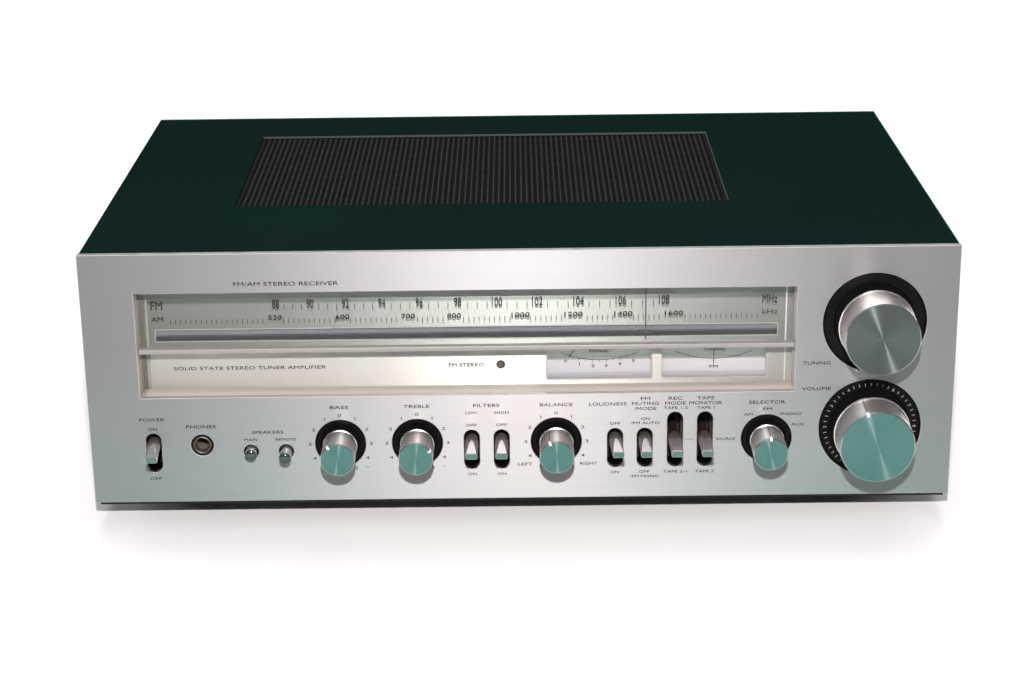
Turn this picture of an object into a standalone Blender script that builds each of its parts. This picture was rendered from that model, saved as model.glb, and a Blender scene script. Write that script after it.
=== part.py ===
"""Stereo receiver: a wide silver front panel with a recessed tuning dial, six knobs, seven bat
levers, two push buttons and a headphone socket, on a low steel cabinet with a top vent.

Metres, +Z up, +X to the right as the user sees it, -Y towards the user. The origin is at the
middle of the bounding box, on the surface that the feet stand on.
"""

import math

import bmesh
import bpy
from mathutils import Vector

# Overall size
WIDTH = 0.490
PANEL_HEIGHT = 0.1488
PANEL_THICKNESS = 0.004
COVER_DEPTH = 0.312  # front of the panel to the rear edge of the cover
FOOT_HEIGHT = 0.012
PANEL_LIFT = 0.003  # lower edge of the panel above the chassis floor's underside
KNOB_REACH = 0.0304  # how far the volume knob stands out of the panel
REAR_REACH = 0.0093  # how far the antenna bar stands out behind the cover
GAP = 0.0003  # clearance between neighbouring solids

# Where the front panel's lower edge lies: all control positions are given from here
FRONT_Y = -(KNOB_REACH + COVER_DEPTH + REAR_REACH) / 2 + KNOB_REACH
PANEL_Z = FOOT_HEIGHT + PANEL_LIFT

# Sheet metal
COVER_SHEET = 0.0015
COVER_SIDE = WIDTH / 2 - 0.0002
CHASSIS_SHEET = 0.0015
CHASSIS_SIDE = COVER_SIDE - COVER_SHEET - GAP
REAR_DEPTH = 0.3085  # front face of the rear panel
REAR_BACK = REAR_DEPTH + CHASSIS_SHEET
FLOOR_TOP = CHASSIS_SHEET - PANEL_LIFT  # top of the chassis floor, from the panel's lower edge
COVER_CEILING = PANEL_HEIGHT - COVER_SHEET

# Dial window, in panel coordinates
WINDOW_LEFT, WINDOW_RIGHT = -0.2150, 0.1549
WINDOW_BOTTOM, WINDOW_TOP = 0.0637, 0.1259
BEZEL_WALL = 0.0015
GLASS_FRONT, GLASS_BACK = 0.0075, 0.0105
PLATE_FRONT, PLATE_BACK = 0.0162, 0.0176
DIVIDER_BOTTOM, DIVIDER_TOP = 0.0892, 0.0919
POINTER_SLOT = (-0.2066, 0.1462, 0.0921, 0.0990)  # left, right, bottom, top
POINTER_X = 0.0714
POINTER_TOP = 0.1236
POINTER_HALF_WIDTH = 0.00035
METER_FACE = 0.0220
METER_BACK = 0.0340
NEEDLE_DEPTH = 0.0209
NEEDLE_PIVOT_Z = 0.0998
METERS = {"signal": (0.0453, 0.0275, 39.0), "tuning": (0.1109, 0.0262, 0.0)}  # x, length, rest angle
METER_HALF_WIDTH = 0.0296
METER_RIM = 0.0016
METER_BOTTOM, METER_RIM_TOP, METER_TOP = 0.0643, 0.0882, 0.1070
LAMP = (-0.0109, 0.0759)
LAMP_HOLE = 0.0026

# Knobs: x, z, ring radius, base radius, face radius, base reach, face reach
KNOBS = {
    "tuning": (0.1988, 0.1042, 0.0289, 0.0216, 0.0205, 0.0070, 0.0297),
    "volume": (0.1984, 0.0412, 0.0288, 0.0218, 0.0202, 0.0085, 0.0304),
    "bass": (-0.1027, 0.0348, 0.01425, 0.0098, 0.0094, 0.0026, 0.0246),
    "treble": (-0.0589, 0.0348, 0.01425, 0.0098, 0.0094, 0.0026, 0.0244),
    "balance": (0.0202, 0.0348, 0.01425, 0.0098, 0.0094, 0.0026, 0.0245),
    "selector": (0.1398, 0.0352, 0.01425, 0.0098, 0.0094, 0.0026, 0.0245),
}
SHAFT_RADIUS = 0.003
SHAFT_HOLE = 0.0036
RING_DEPTH = 0.0060
SHAFT_END = 0.018  # how far a knob's own shaft reaches behind the panel

# Levers: x, lower and upper end of the slot
SLOT_LOW = 0.0184
SLOT_HALF_WIDTH = 0.0045
LEVERS = {
    "power": (-0.2092, 0.0420),
    "low_filter": (-0.0279, 0.0422),
    "high_filter": (-0.0109, 0.0422),
    "loudness": (0.0537, 0.0424),
    "muting": (0.0706, 0.0424),
    "rec_mode": (0.0878, 0.0519),
    "tape_monitor": (0.1048, 0.0519),
}
LEVER_Z = 0.0352
LEVER_PIVOT = 0.024
LEVER_REACH = 0.0225
LEVER_ROOT = 0.0036
LEVER_PIN = 0.0012
LEVER_TIP_WIDTH, LEVER_TIP_HEIGHT = 0.0057, 0.0027
LEVER_WEDGE = (0.0060, 0.0040, 0.0390)  # half width, half height and length of the flats' cutters

# Speaker buttons: x, reach in front of the panel at rest
BUTTONS = {"main": (-0.1538, 0.0065), "remote": (-0.1338, 0.0115)}
BUTTON_Z = 0.0304
BUTTON_RADIUS, BUTTON_HOLE = 0.0033, 0.0044
BUTTON_LENGTH = 0.0245

# Headphone socket
SOCKET = (-0.1815, 0.0348)
SOCKET_RADIUS, SOCKET_HOLE, SOCKET_BORE = 0.0062, 0.0066, 0.00325

# Top vent
VENT_LEFT, VENT_RIGHT = -0.1683, 0.1249
VENT_FRONT, VENT_REAR = 0.0953, 0.2605
VENT_BARS = 15
VENT_BORDER = 0.0060
VENT_TOP = PANEL_HEIGHT - 0.0006
VENT_THICKNESS = 0.0020

# Tuning drive
DRUM = (0.150, 0.0745)
DRUM_RADIUS = 0.0369
DRUM_FRONT, DRUM_BACK = 0.0445, 0.0505
SPOOL_RADIUS = 0.0060
CAPACITOR_FRONT, CAPACITOR_BACK = 0.0545, 0.0960

# Inside and at the back, in panel coordinates
BOARD_FRONT, BOARD_BACK = 0.0310, 0.0326
BOARD_BOTTOM, BOARD_TOP = 0.0120, 0.0580
SWITCH_FRONT, SWITCH_BACK = 0.0170, BOARD_FRONT + 0.0005
SWITCH_BOTTOM, SWITCH_TOP = 0.0272, 0.0432
CAN_FRONT = 0.0090
MAIN_BOARD_TOP = 0.0090
COVER_BOTTOM = -0.0015
OUTSIDE = REAR_BACK + GAP  # where the fittings on the back begin
BODY_FRONT = 0.2980  # how far their moulded bodies reach inwards
BODY_MARGIN = 0.0040
FITTING_REACH = 0.0095  # how far sockets and screws stand out
JACK_PLATE = (0.0300, 0.1700, 0.0350, 0.0750)  # left, right, bottom, top
JACK_COLUMNS, JACK_ROWS = 5, (0.27, 0.73)  # rows as shares of the plate's height
TERMINAL_PLATE = (-0.0900, -0.0100, 0.0350, 0.0750)
TERMINAL_COLUMNS, TERMINAL_ROWS = 4, (0.28, 0.72)
GLAND = (-0.2050, 0.0300)
GLAND_HOLE = 0.0063
ANTENNA_PIVOT = (0.1000, 0.1200)
ANTENNA_LENGTH = 0.190


def clear_scene():
    for obj in list(bpy.data.objects):
        bpy.data.objects.remove(obj)


def collection(name):
    made = bpy.data.collections.new(name)
    bpy.context.scene.collection.children.link(made)
    return made


def material(name, colour, roughness, metallic=0.0):
    made = bpy.data.materials.new(name)
    made.use_nodes = True
    shader = made.node_tree.nodes["Principled BSDF"]
    shader.inputs["Base Color"].default_value = (*colour, 1.0)
    shader.inputs["Roughness"].default_value = roughness
    shader.inputs["Metallic"].default_value = metallic
    made.diffuse_color = (*colour, 1.0)
    return made


clear_scene()
PARTS = collection("stereo_receiver")
CUTTERS = collection("cutters")
BRUSHED = material("brushed_aluminium", (0.62, 0.66, 0.65), 0.35, 1.0)
SPUN = material("spun_aluminium", (0.30, 0.50, 0.45), 0.3, 1.0)
COVER_PAINT = material("cover_paint", (0.010, 0.022, 0.018), 0.45)
BLACK_STEEL = material("black_steel", (0.02, 0.02, 0.02), 0.5)
ZINC = material("zinc_steel", (0.55, 0.55, 0.52), 0.4, 1.0)
BLACK_PLASTIC = material("black_plastic", (0.012, 0.012, 0.013), 0.4)
BEIGE = material("bezel_paint", (0.62, 0.58, 0.52), 0.4)
CLEAR = material("clear_window", (0.9, 0.93, 0.92), 0.05)
DIAL_PAINT = material("dial_paint", (0.60, 0.62, 0.58), 0.45)
METER_WHITE = material("meter_white", (0.75, 0.73, 0.76), 0.5)
DARK_METAL = material("dark_metal", (0.10, 0.11, 0.12), 0.4, 0.6)
CHROME = material("chrome", (0.75, 0.74, 0.74), 0.12, 1.0)
LENS = material("lamp_lens", (0.10, 0.02, 0.015), 0.25)
RUBBER = material("foot_rubber", (0.02, 0.02, 0.02), 0.8)
BOARD = material("circuit_board", (0.35, 0.24, 0.10), 0.6)
LAMINATION = material("transformer_iron", (0.05, 0.05, 0.05), 0.5)
FINNED = material("black_fins", (0.03, 0.03, 0.03), 0.5, 0.5)
CORD = material("dial_cord", (0.30, 0.28, 0.20), 0.8)

RECEIVER = bpy.data.objects.new("receiver", None)
PARTS.objects.link(RECEIVER)
FRONT = bpy.data.objects.new("front_assembly", None)
FRONT.location = (0, FRONT_Y, PANEL_Z)
FRONT.parent = RECEIVER
PARTS.objects.link(FRONT)


def add_object(name, bm, paint):
    """The bmesh as an object under the front assembly, or as a hidden cutter where paint is None."""
    mesh = bpy.data.meshes.new(name)
    bm.to_mesh(mesh)
    bm.free()
    obj = bpy.data.objects.new(name, mesh)
    obj.parent = FRONT
    if paint is None:
        CUTTERS.objects.link(obj)
        obj.hide_render = True
        obj.display_type = "WIRE"
    else:
        PARTS.objects.link(obj)
        mesh.materials.append(paint)
    return obj


def box(name, low, high, paint=None, bevel=0.0):
    """A box between two corners, given as x, depth behind the panel's face, height."""
    low, high = Vector(low), Vector(high)
    bm = bmesh.new()
    bmesh.ops.create_cube(bm, size=1.0)
    bmesh.ops.scale(bm, vec=high - low, verts=bm.verts)
    obj = add_object(name, bm, paint)
    obj.location = (low + high) / 2
    if bevel:
        rounded = obj.modifiers.new("rounded edges", "BEVEL")
        rounded.width = bevel
        rounded.segments = 2
        rounded.limit_method = "ANGLE"
    return obj


def grid_places(plate, columns, rows):
    """The middles of the fittings that stand in columns and rows on a plate at the back."""
    left, right, bottom, top = plate
    for column in range(columns):
        for row in rows:
            yield left + (right - left) * (column + 0.5) / columns, bottom + (top - bottom) * row


def rod(name, x, z, radius, front, back, paint=None, sides=32, facing="depth"):
    """A cylinder along the depth, or along the height from front to back where facing says so."""
    bm = bmesh.new()
    length = abs(back - front)
    bmesh.ops.create_cone(
        bm, cap_ends=True, segments=sides, radius1=radius, radius2=radius, depth=length
    )
    for face in bm.faces:
        face.smooth = len(face.verts) == 4
    obj = add_object(name, bm, paint)
    middle = (front + back) / 2
    if facing == "depth":
        obj.rotation_euler = (math.radians(90), 0, 0)
        obj.location = (x, middle, z)
    else:
        obj.location = (x, z, middle)
    return obj


def turned(name, profile, x, z, paint=None, steps=32, closed=False):
    """A profile of (radius, reach) points spun about the axis that runs out of the panel.

    Reach is the distance in front of the panel's face. Points run down the outer side, from the
    front towards the back, and a closed profile comes back up the bore.
    """
    bm = bmesh.new()
    points = [bm.verts.new((radius, 0, reach)) for radius, reach in profile]
    for a, b in zip(points, points[1:]):
        bm.edges.new((a, b))
    if closed:
        bm.edges.new((points[-1], points[0]))
    obj = add_object(name, bm, paint)
    obj.rotation_euler = (math.radians(90), 0, 0)
    obj.location = (x, 0, z)
    spin = obj.modifiers.new("turned", "SCREW")
    spin.steps = spin.render_steps = steps
    spin.use_smooth_shade = True
    spin.use_merge_vertices = True
    spin.merge_threshold = 1e-5
    return obj


def slot_cutter(name, x, bottom, top, half_width, front, back, sides=20):
    """A prism with round ends, standing upright, cut through along the depth."""
    bm = bmesh.new()
    bmesh.ops.create_cone(
        bm, cap_ends=True, segments=sides, radius1=half_width, radius2=half_width, depth=back - front
    )
    stretch = (top - bottom) / 2 - half_width
    for vert in bm.verts:
        vert.co.y += math.copysign(stretch, vert.co.y)
    obj = add_object(name, bm, None)
    obj.rotation_euler = (math.radians(90), 0, 0)
    obj.location = (x, (front + back) / 2, (bottom + top) / 2)
    return obj


def boolean(obj, others, operation):
    for other in others:
        step = obj.modifiers.new(f"{operation.lower()} {other.name}", "BOOLEAN")
        step.operation = operation
        step.object = other
    return obj


def cut(obj, *cutters):
    return boolean(obj, cutters, "DIFFERENCE")


def join(obj, *others):
    return boolean(obj, others, "UNION")


def front_panel():
    """The silver front plate, with every opening for the dial and the controls."""
    panel = box(
        "front_panel", (-WIDTH / 2, 0, 0), (WIDTH / 2, PANEL_THICKNESS, PANEL_HEIGHT), BRUSHED, 0.0004
    )
    through = (-0.01, 0.01)
    window = (WINDOW_LEFT, through[0], WINDOW_BOTTOM), (WINDOW_RIGHT, through[1], WINDOW_TOP)
    cutters = [box("window_cut", *window)]
    for name, (x, z, ring, *_) in KNOBS.items():
        sides = 40 if ring > 0.02 else 28
        cutters.append(rod(f"{name}_ring_cut", x, z, ring + GAP, *through, sides=sides))
    for name, (x, top) in LEVERS.items():
        cutters.append(slot_cutter(f"{name}_slot_cut", x, SLOT_LOW, top, SLOT_HALF_WIDTH, *through))
    for name, (x, _) in BUTTONS.items():
        cutters.append(rod(f"{name}_button_cut", x, BUTTON_Z, BUTTON_HOLE, *through, sides=20))
    cutters.append(rod("socket_cut", *SOCKET, SOCKET_HOLE, *through, sides=24))
    cut(panel, *cutters)


def dial_window():
    """The recess behind the panel's window: its walls, divider, clear sheet and dial plate."""
    front = PANEL_THICKNESS + GAP
    back = PLATE_FRONT - GAP
    frame = box(
        "window_bezel",
        (WINDOW_LEFT - BEZEL_WALL, front, WINDOW_BOTTOM - BEZEL_WALL),
        (WINDOW_RIGHT + BEZEL_WALL, back, WINDOW_TOP + BEZEL_WALL),
        BEIGE,
    )
    cut(
        frame,
        box("bezel_cut", (WINDOW_LEFT, 0, WINDOW_BOTTOM), (WINDOW_RIGHT, 0.02, WINDOW_TOP)),
    )
    box(
        "window_divider",
        (WINDOW_LEFT + GAP, 0.0025, DIVIDER_BOTTOM),
        (WINDOW_RIGHT - GAP, GLASS_FRONT - GAP, DIVIDER_TOP),
        BRUSHED,
        0.0004,
    )
    box(
        "dial_window",
        (WINDOW_LEFT + GAP, GLASS_FRONT, WINDOW_BOTTOM + GAP),
        (WINDOW_RIGHT - GAP, GLASS_BACK, WINDOW_TOP - GAP),
        CLEAR,
    )
    plate = box(
        "dial_plate",
        (WINDOW_LEFT - BEZEL_WALL, PLATE_FRONT, WINDOW_BOTTOM - BEZEL_WALL),
        (WINDOW_RIGHT + BEZEL_WALL, PLATE_BACK, WINDOW_TOP + BEZEL_WALL),
        DIAL_PAINT,
    )
    through = (0.01, 0.03)
    left, right, bottom, top = POINTER_SLOT
    cutters = [box("pointer_slot_cut", (left, through[0], bottom), (right, through[1], top))]
    opening = (METER_BOTTOM + METER_RIM + 0.0010, METER_RIM_TOP - 0.0014)
    for name, (x, *_) in METERS.items():
        half = METER_HALF_WIDTH + 0.0002
        low, high = (x - half, through[0], opening[0]), (x + half, through[1], opening[1])
        cutters.append(box(f"{name}_meter_cut", low, high))
    cutters.append(rod("lamp_cut", *LAMP, LAMP_HOLE, *through, sides=16))
    cut(plate, *cutters)


def dial_pointer():
    """The rail behind the slot, and the pointer that the dial cord drags along it."""
    left, right, bottom, top = POINTER_SLOT
    box(
        "pointer_rail",
        (left - 0.004, PLATE_BACK + GAP, bottom + 0.0031),
        (right + 0.004, 0.0191, top + 0.003),
        DARK_METAL,
    )
    blade_left, blade_right = POINTER_X - POINTER_HALF_WIDTH, POINTER_X + POINTER_HALF_WIDTH
    blade = box(
        "dial_pointer",
        (blade_left, 0.0130, bottom - 0.0006),
        (blade_right, 0.0140, POINTER_TOP),
        DARK_METAL,
    )
    arm = box(
        "pointer_arm", (blade_left, 0.0135, bottom + 0.0004), (blade_right, 0.0182, bottom + 0.0026)
    )
    carriage = box(
        "pointer_carriage",
        (POINTER_X - 0.004, 0.0179, bottom + 0.0004),
        (POINTER_X + 0.004, 0.0198, bottom + 0.0027),
    )
    join(blade, arm, carriage)


def meter(kind):
    """One moving-coil meter: its case with the window's rim, and its needle."""
    x, length, rest = METERS[kind]
    inside = METER_HALF_WIDTH
    outside = inside + METER_RIM
    case = box(
        f"{kind}_meter",
        (x - outside, METER_FACE, METER_BOTTOM),
        (x + outside, METER_BACK, METER_TOP),
        METER_WHITE,
    )
    rim = box(
        f"{kind}_rim",
        (x - outside, PLATE_BACK + GAP, METER_BOTTOM),
        (x + outside, METER_FACE + 0.001, METER_RIM_TOP),
    )
    pocket = box(f"{kind}_pocket", (x - inside, 0, METER_BOTTOM + 0.0024), (x + inside, METER_FACE, 0.1))
    cut(rim, pocket)
    join(case, rim)
    hub_ends = (NEEDLE_DEPTH - 0.0004, NEEDLE_DEPTH + 0.0004)
    hub = rod(f"{kind}_needle", x, NEEDLE_PIVOT_Z, 0.0018, *hub_ends, DARK_METAL, sides=12)
    hub.rotation_euler = (math.radians(90), math.radians(rest), 0)
    blade = box(f"{kind}_blade", (-0.00025, -length, -0.0002), (0.00025, 0, 0.0002))
    blade.parent = hub
    join(hub, blade)


def stereo_lamp():
    """The small domed lamp that shows through the dial plate."""
    radius, tip, back = 0.0023, -0.0150, -0.0260
    profile = [
        (0, tip),
        (0.0013, tip - 0.0002),
        (0.0021, tip - 0.0008),
        (radius, tip - 0.0015),
        (radius, back),
        (0, back),
    ]
    turned("stereo_lamp", profile, *LAMP, LENS, 16)


def control_ring(name):
    """The black dished ring, fixed in the panel, that a knob stands over."""
    x, z, ring, *_ = KNOBS[name]
    profile = [
        (ring, -GAP),
        (ring, -RING_DEPTH),
        (SHAFT_HOLE, -RING_DEPTH),
        (SHAFT_HOLE, -0.0034),
        (0.74 * ring, -0.0026),
        (0.80 * ring, -0.0012),
        (ring - 0.0006, -0.0008),
    ]
    turned(f"{name}_ring", profile, x, z, BLACK_PLASTIC, 36 if ring > 0.02 else 24, closed=True)


def knob(name):
    """A knob turned from bar: flange, tapering side, flat face, and the shaft behind it."""
    x, z, ring, base, face, base_reach, reach = KNOBS[name]
    hub = 0.55 * base
    lip = 0.0009
    profile = [
        (0, reach),
        (face - 0.0006, reach),
        (face, reach - 0.0006),
        (base - 0.0006, base_reach + 2 * lip),
        (base, base_reach + lip),
        (base, base_reach),
        (hub, base_reach),
    ]
    if name == "tuning":
        bore = SHAFT_RADIUS + GAP
        profile += [(hub, -0.0020), (bore, -0.0020), (bore, 0.0200), (0, 0.0200)]
    else:
        profile += [(hub, -0.0020), (SHAFT_RADIUS, -0.0020)]
        profile += [(SHAFT_RADIUS, -SHAFT_END), (0, -SHAFT_END)]
    turned(f"{name}_knob", profile, x, z, SPUN, 32 if base > 0.015 else 24)


def tuning_flywheel():
    """The tuning spindle with its flywheel and the spool that drives the dial cord."""
    x, z, *_ = KNOBS["tuning"]
    profile = [
        (0, 0.0196),
        (SHAFT_RADIUS, 0.0196),
        (SHAFT_RADIUS, -0.0260),
        (0.0215, -0.0260),
        (0.0215, -0.0380),
        (0.0080, -0.0400),
        (0.0080, -0.0445),
        (SPOOL_RADIUS, -0.0455),
        (SPOOL_RADIUS, -0.0495),
        (0.0080, -0.0505),
        (0.0080, -0.0520),
        (SHAFT_RADIUS, -0.0520),
        (SHAFT_RADIUS, -0.0620),
        (0, -0.0620),
    ]
    turned("tuning_flywheel", profile, x, z, ZINC, 28)


def spindle_control(name, x, z, radius, back, paint=None):
    """A rotary control's can and front bushing, with the hole that a knob's shaft turns in."""
    can = rod(name, x, z, radius, CAN_FRONT, back, paint, sides=20)
    join(can, rod(f"{name}_bushing", x, z, 0.0055, RING_DEPTH + GAP, CAN_FRONT + 0.001, sides=16))
    return cut(can, rod(f"{name}_spindle_cut", x, z, SHAFT_HOLE, 0, SHAFT_END + 0.001, sides=16))


def lever_switch_cuts(names):
    """Cutters for the channels that the levers rock in and the holes for their pivot pins."""
    cutters = []
    for name in names:
        x = LEVERS[name][0]
        cutters.append(box(f"{name}_channel", (x - 0.0041, 0, 0.02), (x + 0.0041, 0.0300, 0.06)))
        pin_hole = rod(f"{name}_pin_hole", 0, 0, LEVER_PIN + GAP, -0.0066, 0.0066, sides=12)
        pin_hole.rotation_euler = (0, math.radians(90), 0)
        pin_hole.location = (x, LEVER_PIVOT, LEVER_Z)
        cutters.append(pin_hole)
    return cutters


def board(name, left, right):
    return box(name, (left, BOARD_FRONT, BOARD_BOTTOM), (right, BOARD_BACK, BOARD_TOP), BOARD)


def switch_body(name, left, right):
    return box(name, (left, SWITCH_FRONT, SWITCH_BOTTOM), (right, SWITCH_BACK, SWITCH_TOP))


def control_boards():
    """The boards behind the panel that carry the rotary controls and the lever switches."""
    tone = board("tone_control_board", -0.1220, 0.0400)
    cans = [
        spindle_control(f"{name}_pot", *KNOBS[name][:2], 0.0100, SWITCH_BACK)
        for name in ("bass", "treble", "balance")
    ]
    join(tone, *cans, switch_body("filter_switch", -0.0362, -0.0026))
    cut(tone, *lever_switch_cuts(["low_filter", "high_filter"]))

    right = board("lever_switch_board", 0.0440, 0.1140)
    join(right, switch_body("lever_switches", 0.0455, 0.1130))
    cut(right, *lever_switch_cuts(["loudness", "muting", "rec_mode", "tape_monitor"]))

    left = board("left_switch_board", -0.2200, -0.1270)
    speakers = box("speaker_switch", (-0.1605, 0.0080, 0.0220), (-0.1270, SWITCH_BACK, 0.0388))
    join(left, switch_body("power_switch", -0.2175, -0.2009), speakers)
    guides = [
        rod(f"{name}_guide", x, BUTTON_Z, BUTTON_RADIUS + 0.0004, 0, 0.0200, sides=16)
        for name, (x, _) in BUTTONS.items()
    ]
    cut(left, *guides, *lever_switch_cuts(["power"]))

    spindle_control("volume_pot", *KNOBS["volume"][:2], 0.0125, 0.0300, ZINC)
    spindle_control("selector_switch", *KNOBS["selector"][:2], 0.0140, 0.0380, ZINC)


def lever(name):
    """A chromed bat lever on its pivot pin: a tapering rod, flattened above and below."""
    end = LEVER_PIVOT + LEVER_REACH
    half_height = LEVER_TIP_HEIGHT / 2
    tip = math.hypot(LEVER_TIP_WIDTH / 2, half_height)
    profile = [(0, end), (tip, end), (LEVER_ROOT, 0.55 * end)]
    profile += [(LEVER_ROOT, -0.0015), (0.0025, -0.0045), (0, -0.0045)]
    bat = turned(f"{name}_lever", profile, 0, 0, CHROME, 20)
    bat.location = (LEVERS[name][0], LEVER_PIVOT, LEVER_Z)

    slope = math.atan2(LEVER_ROOT - half_height, 0.45 * end)
    half_width, half_wedge, length = LEVER_WEDGE
    for side in (1, -1):
        low, high = (-half_width, -half_wedge, -length / 2), (half_width, half_wedge, length / 2)
        wedge = box(f"{name}_flat_{side}", low, high)
        wedge.parent = bat
        wedge.rotation_euler = (side * slope, 0, 0)
        beside_tip = Vector((0, side * (half_height + half_wedge / math.cos(slope)), end))
        along = Vector((0, side * math.sin(slope), -math.cos(slope)))
        wedge.location = beside_tip + along * (length / 2 - 0.0040)
        cut(bat, wedge)
    pin = rod(f"{name}_pin", 0, 0, LEVER_PIN, -0.0058, 0.0058, sides=10)
    pin.parent = bat
    pin.rotation_euler = (0, math.radians(90), 0)
    join(bat, pin)


def speaker_button(name):
    """A push button: a long rod with a low dome at its front end."""
    x, reach = BUTTONS[name]
    profile = [
        (BUTTON_RADIUS * math.sin(angle), reach - 0.0014 * (1 - math.cos(angle)))
        for angle in (0.0, 0.5, 1.0, math.pi / 2)
    ]
    profile += [(BUTTON_RADIUS, reach - BUTTON_LENGTH), (0, reach - BUTTON_LENGTH)]
    turned(f"{name}_speaker_button", profile, x, BUTTON_Z, CHROME, 20)


def phones_jack():
    """The headphone socket: a black collar round a metal sleeve with a blind bore."""
    bore_end, body_end = -0.0270, -0.0300
    profile = [
        (0, bore_end),
        (SOCKET_BORE, bore_end),
        (SOCKET_BORE, -0.0026),
        (0.0043, -0.0010),
        (0.0052, -0.0002),
        (0.0055, -0.0010),
        (SOCKET_RADIUS, -0.0010),
        (SOCKET_RADIUS, body_end),
        (0, body_end),
    ]
    turned("phones_jack", profile, *SOCKET, BLACK_PLASTIC, 28)


def dial_drive():
    """The drum on the tuning capacitor, the capacitor's frame and vanes, and the drive cord."""
    x, z = DRUM
    groove = DRUM_RADIUS - 0.0012
    drum = [
        (0, -DRUM_FRONT),
        (DRUM_RADIUS, -DRUM_FRONT),
        (groove, -DRUM_FRONT - 0.0017),
        (groove, -DRUM_BACK + 0.0017),
        (DRUM_RADIUS, -DRUM_BACK),
        (SHAFT_RADIUS, -DRUM_BACK),
        (SHAFT_RADIUS, -0.0572),
        (0, -0.0572),
    ]
    turned("dial_drum", drum, x, z, BLACK_PLASTIC, 32)

    front, back, half = CAPACITOR_FRONT, CAPACITOR_BACK, 0.022
    frame = box("tuning_capacitor", (x - half, front, z - half), (x + half, back, z + half), ZINC)
    inside = 0.0195
    low, high = (x - inside, front + 0.0015, z - inside), (x + 0.03, back - 0.0015, z + 0.03)
    cut(frame, box("capacitor_cut", low, high))
    stators = [
        box(f"stator_{i}", (x - 0.0200, d - 0.0004, z - 0.016), (x - 0.0045, d + 0.0004, z + 0.016))
        for i, d in enumerate((0.0680, 0.0760, 0.0840))
    ]
    legs = []
    for i, leg in enumerate((x - 0.016, x + 0.016)):
        low, high = (leg - 0.002, 0.0740, MAIN_BOARD_TOP + GAP), (leg + 0.002, 0.0780, z - 0.0215)
        legs.append(box(f"capacitor_leg_{i}", low, high))
    join(frame, *stators, *legs)
    cut(frame, rod("capacitor_shaft_cut", x, z, SHAFT_HOLE, 0.05, 0.10, sides=16))

    rotor = rod("capacitor_rotor", x, z, SHAFT_RADIUS, 0.0576, 0.0975, ZINC, sides=16)
    for i, d in enumerate((0.0640, 0.0720, 0.0800, 0.0880)):
        vane = rod(f"vane_{i}", x, z, 0.0150, d - 0.0004, d + 0.0004, sides=24)
        cut(vane, box(f"vane_cut_{i}", (x - 0.02, 0.05, z), (x + 0.02, 0.10, z + 0.02)))
        join(rotor, vane)


def drive_cord():
    """The closed loop of cord round the drum's groove and the tuning spindle's spool."""
    drum = Vector((DRUM[0], 0, DRUM[1]))
    spool = Vector((KNOBS["tuning"][0], 0, KNOBS["tuning"][1]))
    wide, narrow = DRUM_RADIUS - 0.0006, SPOOL_RADIUS + 0.0006
    apart = (spool - drum).length
    along = math.atan2((spool - drum).z, (spool - drum).x)
    lean = math.acos((wide - narrow) / apart)
    points = []
    for centre, radius, start, end, count in (
        (drum, wide, along + lean, along + 2 * math.pi - lean, 28),
        (spool, narrow, along - lean, along + lean, 9),
    ):
        for i in range(count):
            angle = start + (end - start) * i / (count - 1)
            points.append(centre + radius * Vector((math.cos(angle), 0, math.sin(angle))))
    curve = bpy.data.curves.new("dial_cord", "CURVE")
    curve.dimensions = "3D"
    curve.bevel_depth = 0.00035
    curve.bevel_resolution = 0
    spline = curve.splines.new("POLY")
    spline.use_cyclic_u = True
    spline.points.add(len(points) - 1)
    for knot, point in zip(spline.points, points):
        knot.co = (point.x, (DRUM_FRONT + DRUM_BACK) / 2, point.z, 1)
    cord = bpy.data.objects.new("dial_cord", curve)
    cord.parent = FRONT
    curve.materials.append(CORD)
    PARTS.objects.link(cord)


def cabinet_cover():
    """The folded steel cover: top and both sides, open below and at both ends."""
    front = PANEL_THICKNESS + GAP
    low, high = (-COVER_SIDE, front, COVER_BOTTOM), (COVER_SIDE, COVER_DEPTH, PANEL_HEIGHT)
    cover = box("cabinet_cover", low, high, COVER_PAINT)
    weights = cover.data.attributes.new("bevel_weight_edge", "FLOAT", "EDGE")
    for edge in cover.data.edges:
        a, b = (cover.data.vertices[i].co for i in edge.vertices)
        folded = a.z > 0 and b.z > 0 and abs(a.x - b.x) < GAP
        weights.data[edge.index].value = float(folded)
    fold = cover.modifiers.new("folded edges", "BEVEL")
    fold.width = 0.0018
    fold.segments = 3
    fold.limit_method = "WEIGHT"
    inside = COVER_SIDE - COVER_SHEET
    cut(
        cover,
        box("cover_cut", (-inside, 0, -0.05), (inside, COVER_DEPTH + 0.01, COVER_CEILING)),
        box("vent_cut", (VENT_LEFT, VENT_FRONT, 0.10), (VENT_RIGHT, VENT_REAR, 0.20)),
    )


def vent_grille():
    """The black grille that fills the opening in the top: bars along the depth in a frame."""
    grille = box(
        "vent_grille",
        (VENT_LEFT + GAP, VENT_FRONT + GAP, VENT_TOP - VENT_THICKNESS),
        (VENT_RIGHT - GAP, VENT_REAR - GAP, VENT_TOP),
        BLACK_STEEL,
    )
    pitch = (VENT_RIGHT - VENT_LEFT - 2 * VENT_BORDER) / VENT_BARS
    slots = []
    for i in range(VENT_BARS):
        left = VENT_LEFT + VENT_BORDER + (i + 0.2) * pitch
        low = (left, VENT_FRONT + VENT_BORDER, 0.10)
        high = (left + 0.6 * pitch, VENT_REAR - VENT_BORDER, 0.20)
        slots.append(box(f"vent_slot_{i}", low, high))
    cut(grille, *slots)


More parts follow.
